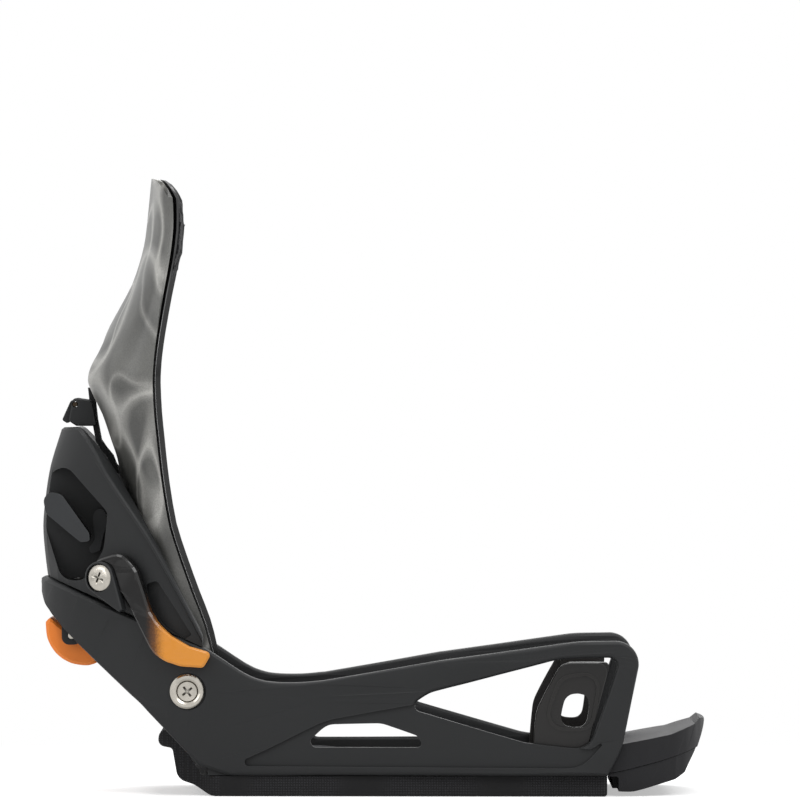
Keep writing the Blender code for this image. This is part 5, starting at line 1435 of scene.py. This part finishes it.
@dataclass
class Mounting(Assembly):
    """Stance disc with its screws, and the bolts of the highback."""

    screw_pitch: float = 40.0 * MM
    marks: ScaleMarks = ScaleMarks((0.0, 0.0, 16.9 * MM), 44.0 * MM)

    def build(self) -> None:
        """Builds the disc with its marks and screws, and the ear bolts."""
        self.smooth("stance_disc", NYLON_DISC, 1)
        marks = self.marks.object("stance_disc_marks", NYLON_DISC)
        self.settle(marks, NYLON_DISC, self.body_of("stance_disc"))
        self.screws()
        for side in ("left", "right"):
            for kind in ("bolt", "washer", "nut"):
                self.smooth(f"ear_{kind}_{side}", STEEL, 2)

    def screws(self) -> None:
        """Builds the four screws that hold the disc to the board."""
        nodes = [f"disc_screw_{end}_{side}" for end in ("front", "rear") for side in ("left", "right")]
        points, faces = merged_arrays(self.frame["nodes"][nodes[0]].data)
        half = self.screw_pitch / 2
        one = Smoother(2).object("disc_screw", points - np.array([half, half, 0.0]), faces)
        four = ScrewSquare(self.screw_pitch).object("disc_screws", STEEL, one.data)
        bpy.data.objects.remove(one, do_unlink=True)
        four.data.set_sharp_from_angle(angle=math.radians(SHARP_DEGREES))
        self.settle(four, STEEL, self.body_of(nodes[0]), nodes)


# ---------------------------------------------------------------- studio


@dataclass(frozen=True)
class Studio:
    """Pale floor, white surroundings, soft boxes and the camera."""

    distance: float = 4.0
    elevation_degrees: float = 0.4
    frame_width: float = 0.368
    sensor_mm: float = 36.0
    clip: tuple[float, float] = (0.05, 50.0)
    centre: Place = (0.0046, -0.058, 0.1826)
    floor_reach: float = 5.0
    floor_lift: float = 0.45
    matt_radius: float = 0.24
    white_radius: float = 0.5
    fill_light: float = 0.42
    lit_point: Place = (0.0, 0.0, 0.12)
    lamps: tuple[tuple[str, Place, tuple[float, float], float], ...] = (
        ("key", (0.9, -1.5, 1.7), (1.4, 1.0), 22.0),
        ("fill", (-1.6, -1.3, 1.0), (1.2, 1.4), 9.0),
        ("top", (-0.1, 0.3, 1.9), (1.6, 1.2), 16.0),
        ("back", (0.4, 1.9, 1.2), (1.8, 1.0), 10.0),
    )

    def build(self) -> None:
        """Builds the stage, the lamps and the camera."""
        self.floor()
        self.surroundings()
        for name, place, size, power in self.lamps:
            self.softbox(name, place, size, power)
        self.camera()
        bpy.context.scene.view_settings.view_transform = "Standard"

    @staticmethod
    def cleared(owner: bpy.types.Material | bpy.types.World) -> Tree:
        """Gives a new material or world its node tree, with nothing in it.

        Args:
            owner: the material or world.

        Returns:
            The empty tree.
        """
        owner.use_nodes = True
        owner.node_tree.nodes.clear()
        return owner.node_tree

    def floor(self) -> None:
        """Builds the floor: matt white near the object, where it takes the shadow, and plain white beyond."""
        reach = self.floor_reach
        corners = [(-reach, -reach, 0), (reach, -reach, 0), (reach, reach, 0), (-reach, reach, 0)]
        floor = mesh_object("floor", corners, [(0, 1, 2, 3)], False)
        made = bpy.data.materials.new("matt_white_floor")
        tree = self.cleared(made)
        place = add(tree, "ShaderNodeTexCoord").outputs["Object"]
        away = add(tree, "ShaderNodeVectorMath", {"operation": "LENGTH", 0: place})
        far = add(tree, "ShaderNodeMapRange", {
            "interpolation_type": "SMOOTHSTEP", "Value": away,
            "From Min": self.matt_radius, "From Max": self.white_radius,
        })
        seen = add(tree, "ShaderNodeLightPath").outputs["Is Camera Ray"]
        beyond = add(tree, "ShaderNodeMath", {"operation": "MULTIPLY", 0: seen, 1: far})
        lit = add(tree, "ShaderNodeMath", {"operation": "MULTIPLY", 0: seen, 1: self.floor_lift})
        matt = add(tree, "ShaderNodeBsdfDiffuse", {"Color": srgb("F2F2F2")})
        lift = add(tree, "ShaderNodeEmission", {"Color": srgb("FFFFFF"), "Strength": lit})
        near = add(tree, "ShaderNodeAddShader", {0: matt, 1: lift})
        white = add(tree, "ShaderNodeEmission", {"Color": srgb("FFFFFF"), "Strength": 1.0})
        both = add(tree, "ShaderNodeMixShader", {0: beyond, 1: near, 2: white})
        add(tree, "ShaderNodeOutputMaterial", {"Surface": both})
        floor.data.materials.append(made)

    def surroundings(self) -> None:
        """Builds the world: white to the camera, in reflections and through glass, softer as light."""
        world = bpy.data.worlds.new("white_room")
        bpy.context.scene.world = world
        tree = self.cleared(world)
        path = add(tree, "ShaderNodeLightPath").outputs
        seen = path["Is Camera Ray"]
        for kind in ("Is Glossy Ray", "Is Transmission Ray"):
            seen = add(tree, "ShaderNodeMath", {"operation": "MAXIMUM", 0: seen, 1: path[kind]})
        strength = add(tree, "ShaderNodeMapRange", {"Value": seen, "To Min": self.fill_light})
        back = add(tree, "ShaderNodeBackground", {"Color": srgb("FFFFFF"), "Strength": strength})
        add(tree, "ShaderNodeOutputWorld", {"Surface": back})

    def softbox(self, name: str, place: Place, size: tuple[float, float], power: float) -> None:
        """Hangs a soft box that looks at the object.

        Args:
            name: its name.
            place: its middle.
            size: its width and height in metres.
            power: its power in watts.
        """
        lamp = bpy.data.lights.new(name, "AREA")
        lamp.shape = "RECTANGLE"
        lamp.size, lamp.size_y = size
        lamp.energy = power
        self.aimed(new_object(name, lamp), Vector(place), Vector(self.lit_point))

    def camera(self) -> None:
        """Sets the camera up at the side, a little above the floor."""
        lens = bpy.data.cameras.new("camera")
        lens.sensor_width = self.sensor_mm
        lens.lens = self.sensor_mm * self.distance / self.frame_width
        lens.clip_start, lens.clip_end = self.clip
        tilt = math.radians(self.elevation_degrees)
        target = Vector(self.centre)
        start = target + Vector((0, -math.cos(tilt), math.sin(tilt))) * self.distance
        bpy.context.scene.camera = self.aimed(new_object("camera", lens), start, target)

    @staticmethod
    def aimed(obj: Object, start: Vector, target: Vector) -> Object:
        """Stands a lamp or a camera at a place and points it.

        Args:
            obj: the lamp or camera, which looks along its -Z.
            start: where it stands.
            target: what it looks at.

        Returns:
            The same object.
        """
        turn = (target - start).to_track_quat("-Z", "Y").to_matrix().to_4x4()
        obj.matrix_world = Matrix.Translation(start) @ turn
        return obj


def main() -> None:
    """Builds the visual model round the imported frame."""
    logging.basicConfig(level=logging.INFO, format="%(message)s")
    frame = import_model()
    for group in (Base(frame), Heel(frame), Highback(frame), Release(frame), Toe(frame), Mounting(frame)):
        group.build()
        LOG.info("built %s", type(group).__name__)
    Studio().build()


if __name__ == "__main__":
    main()
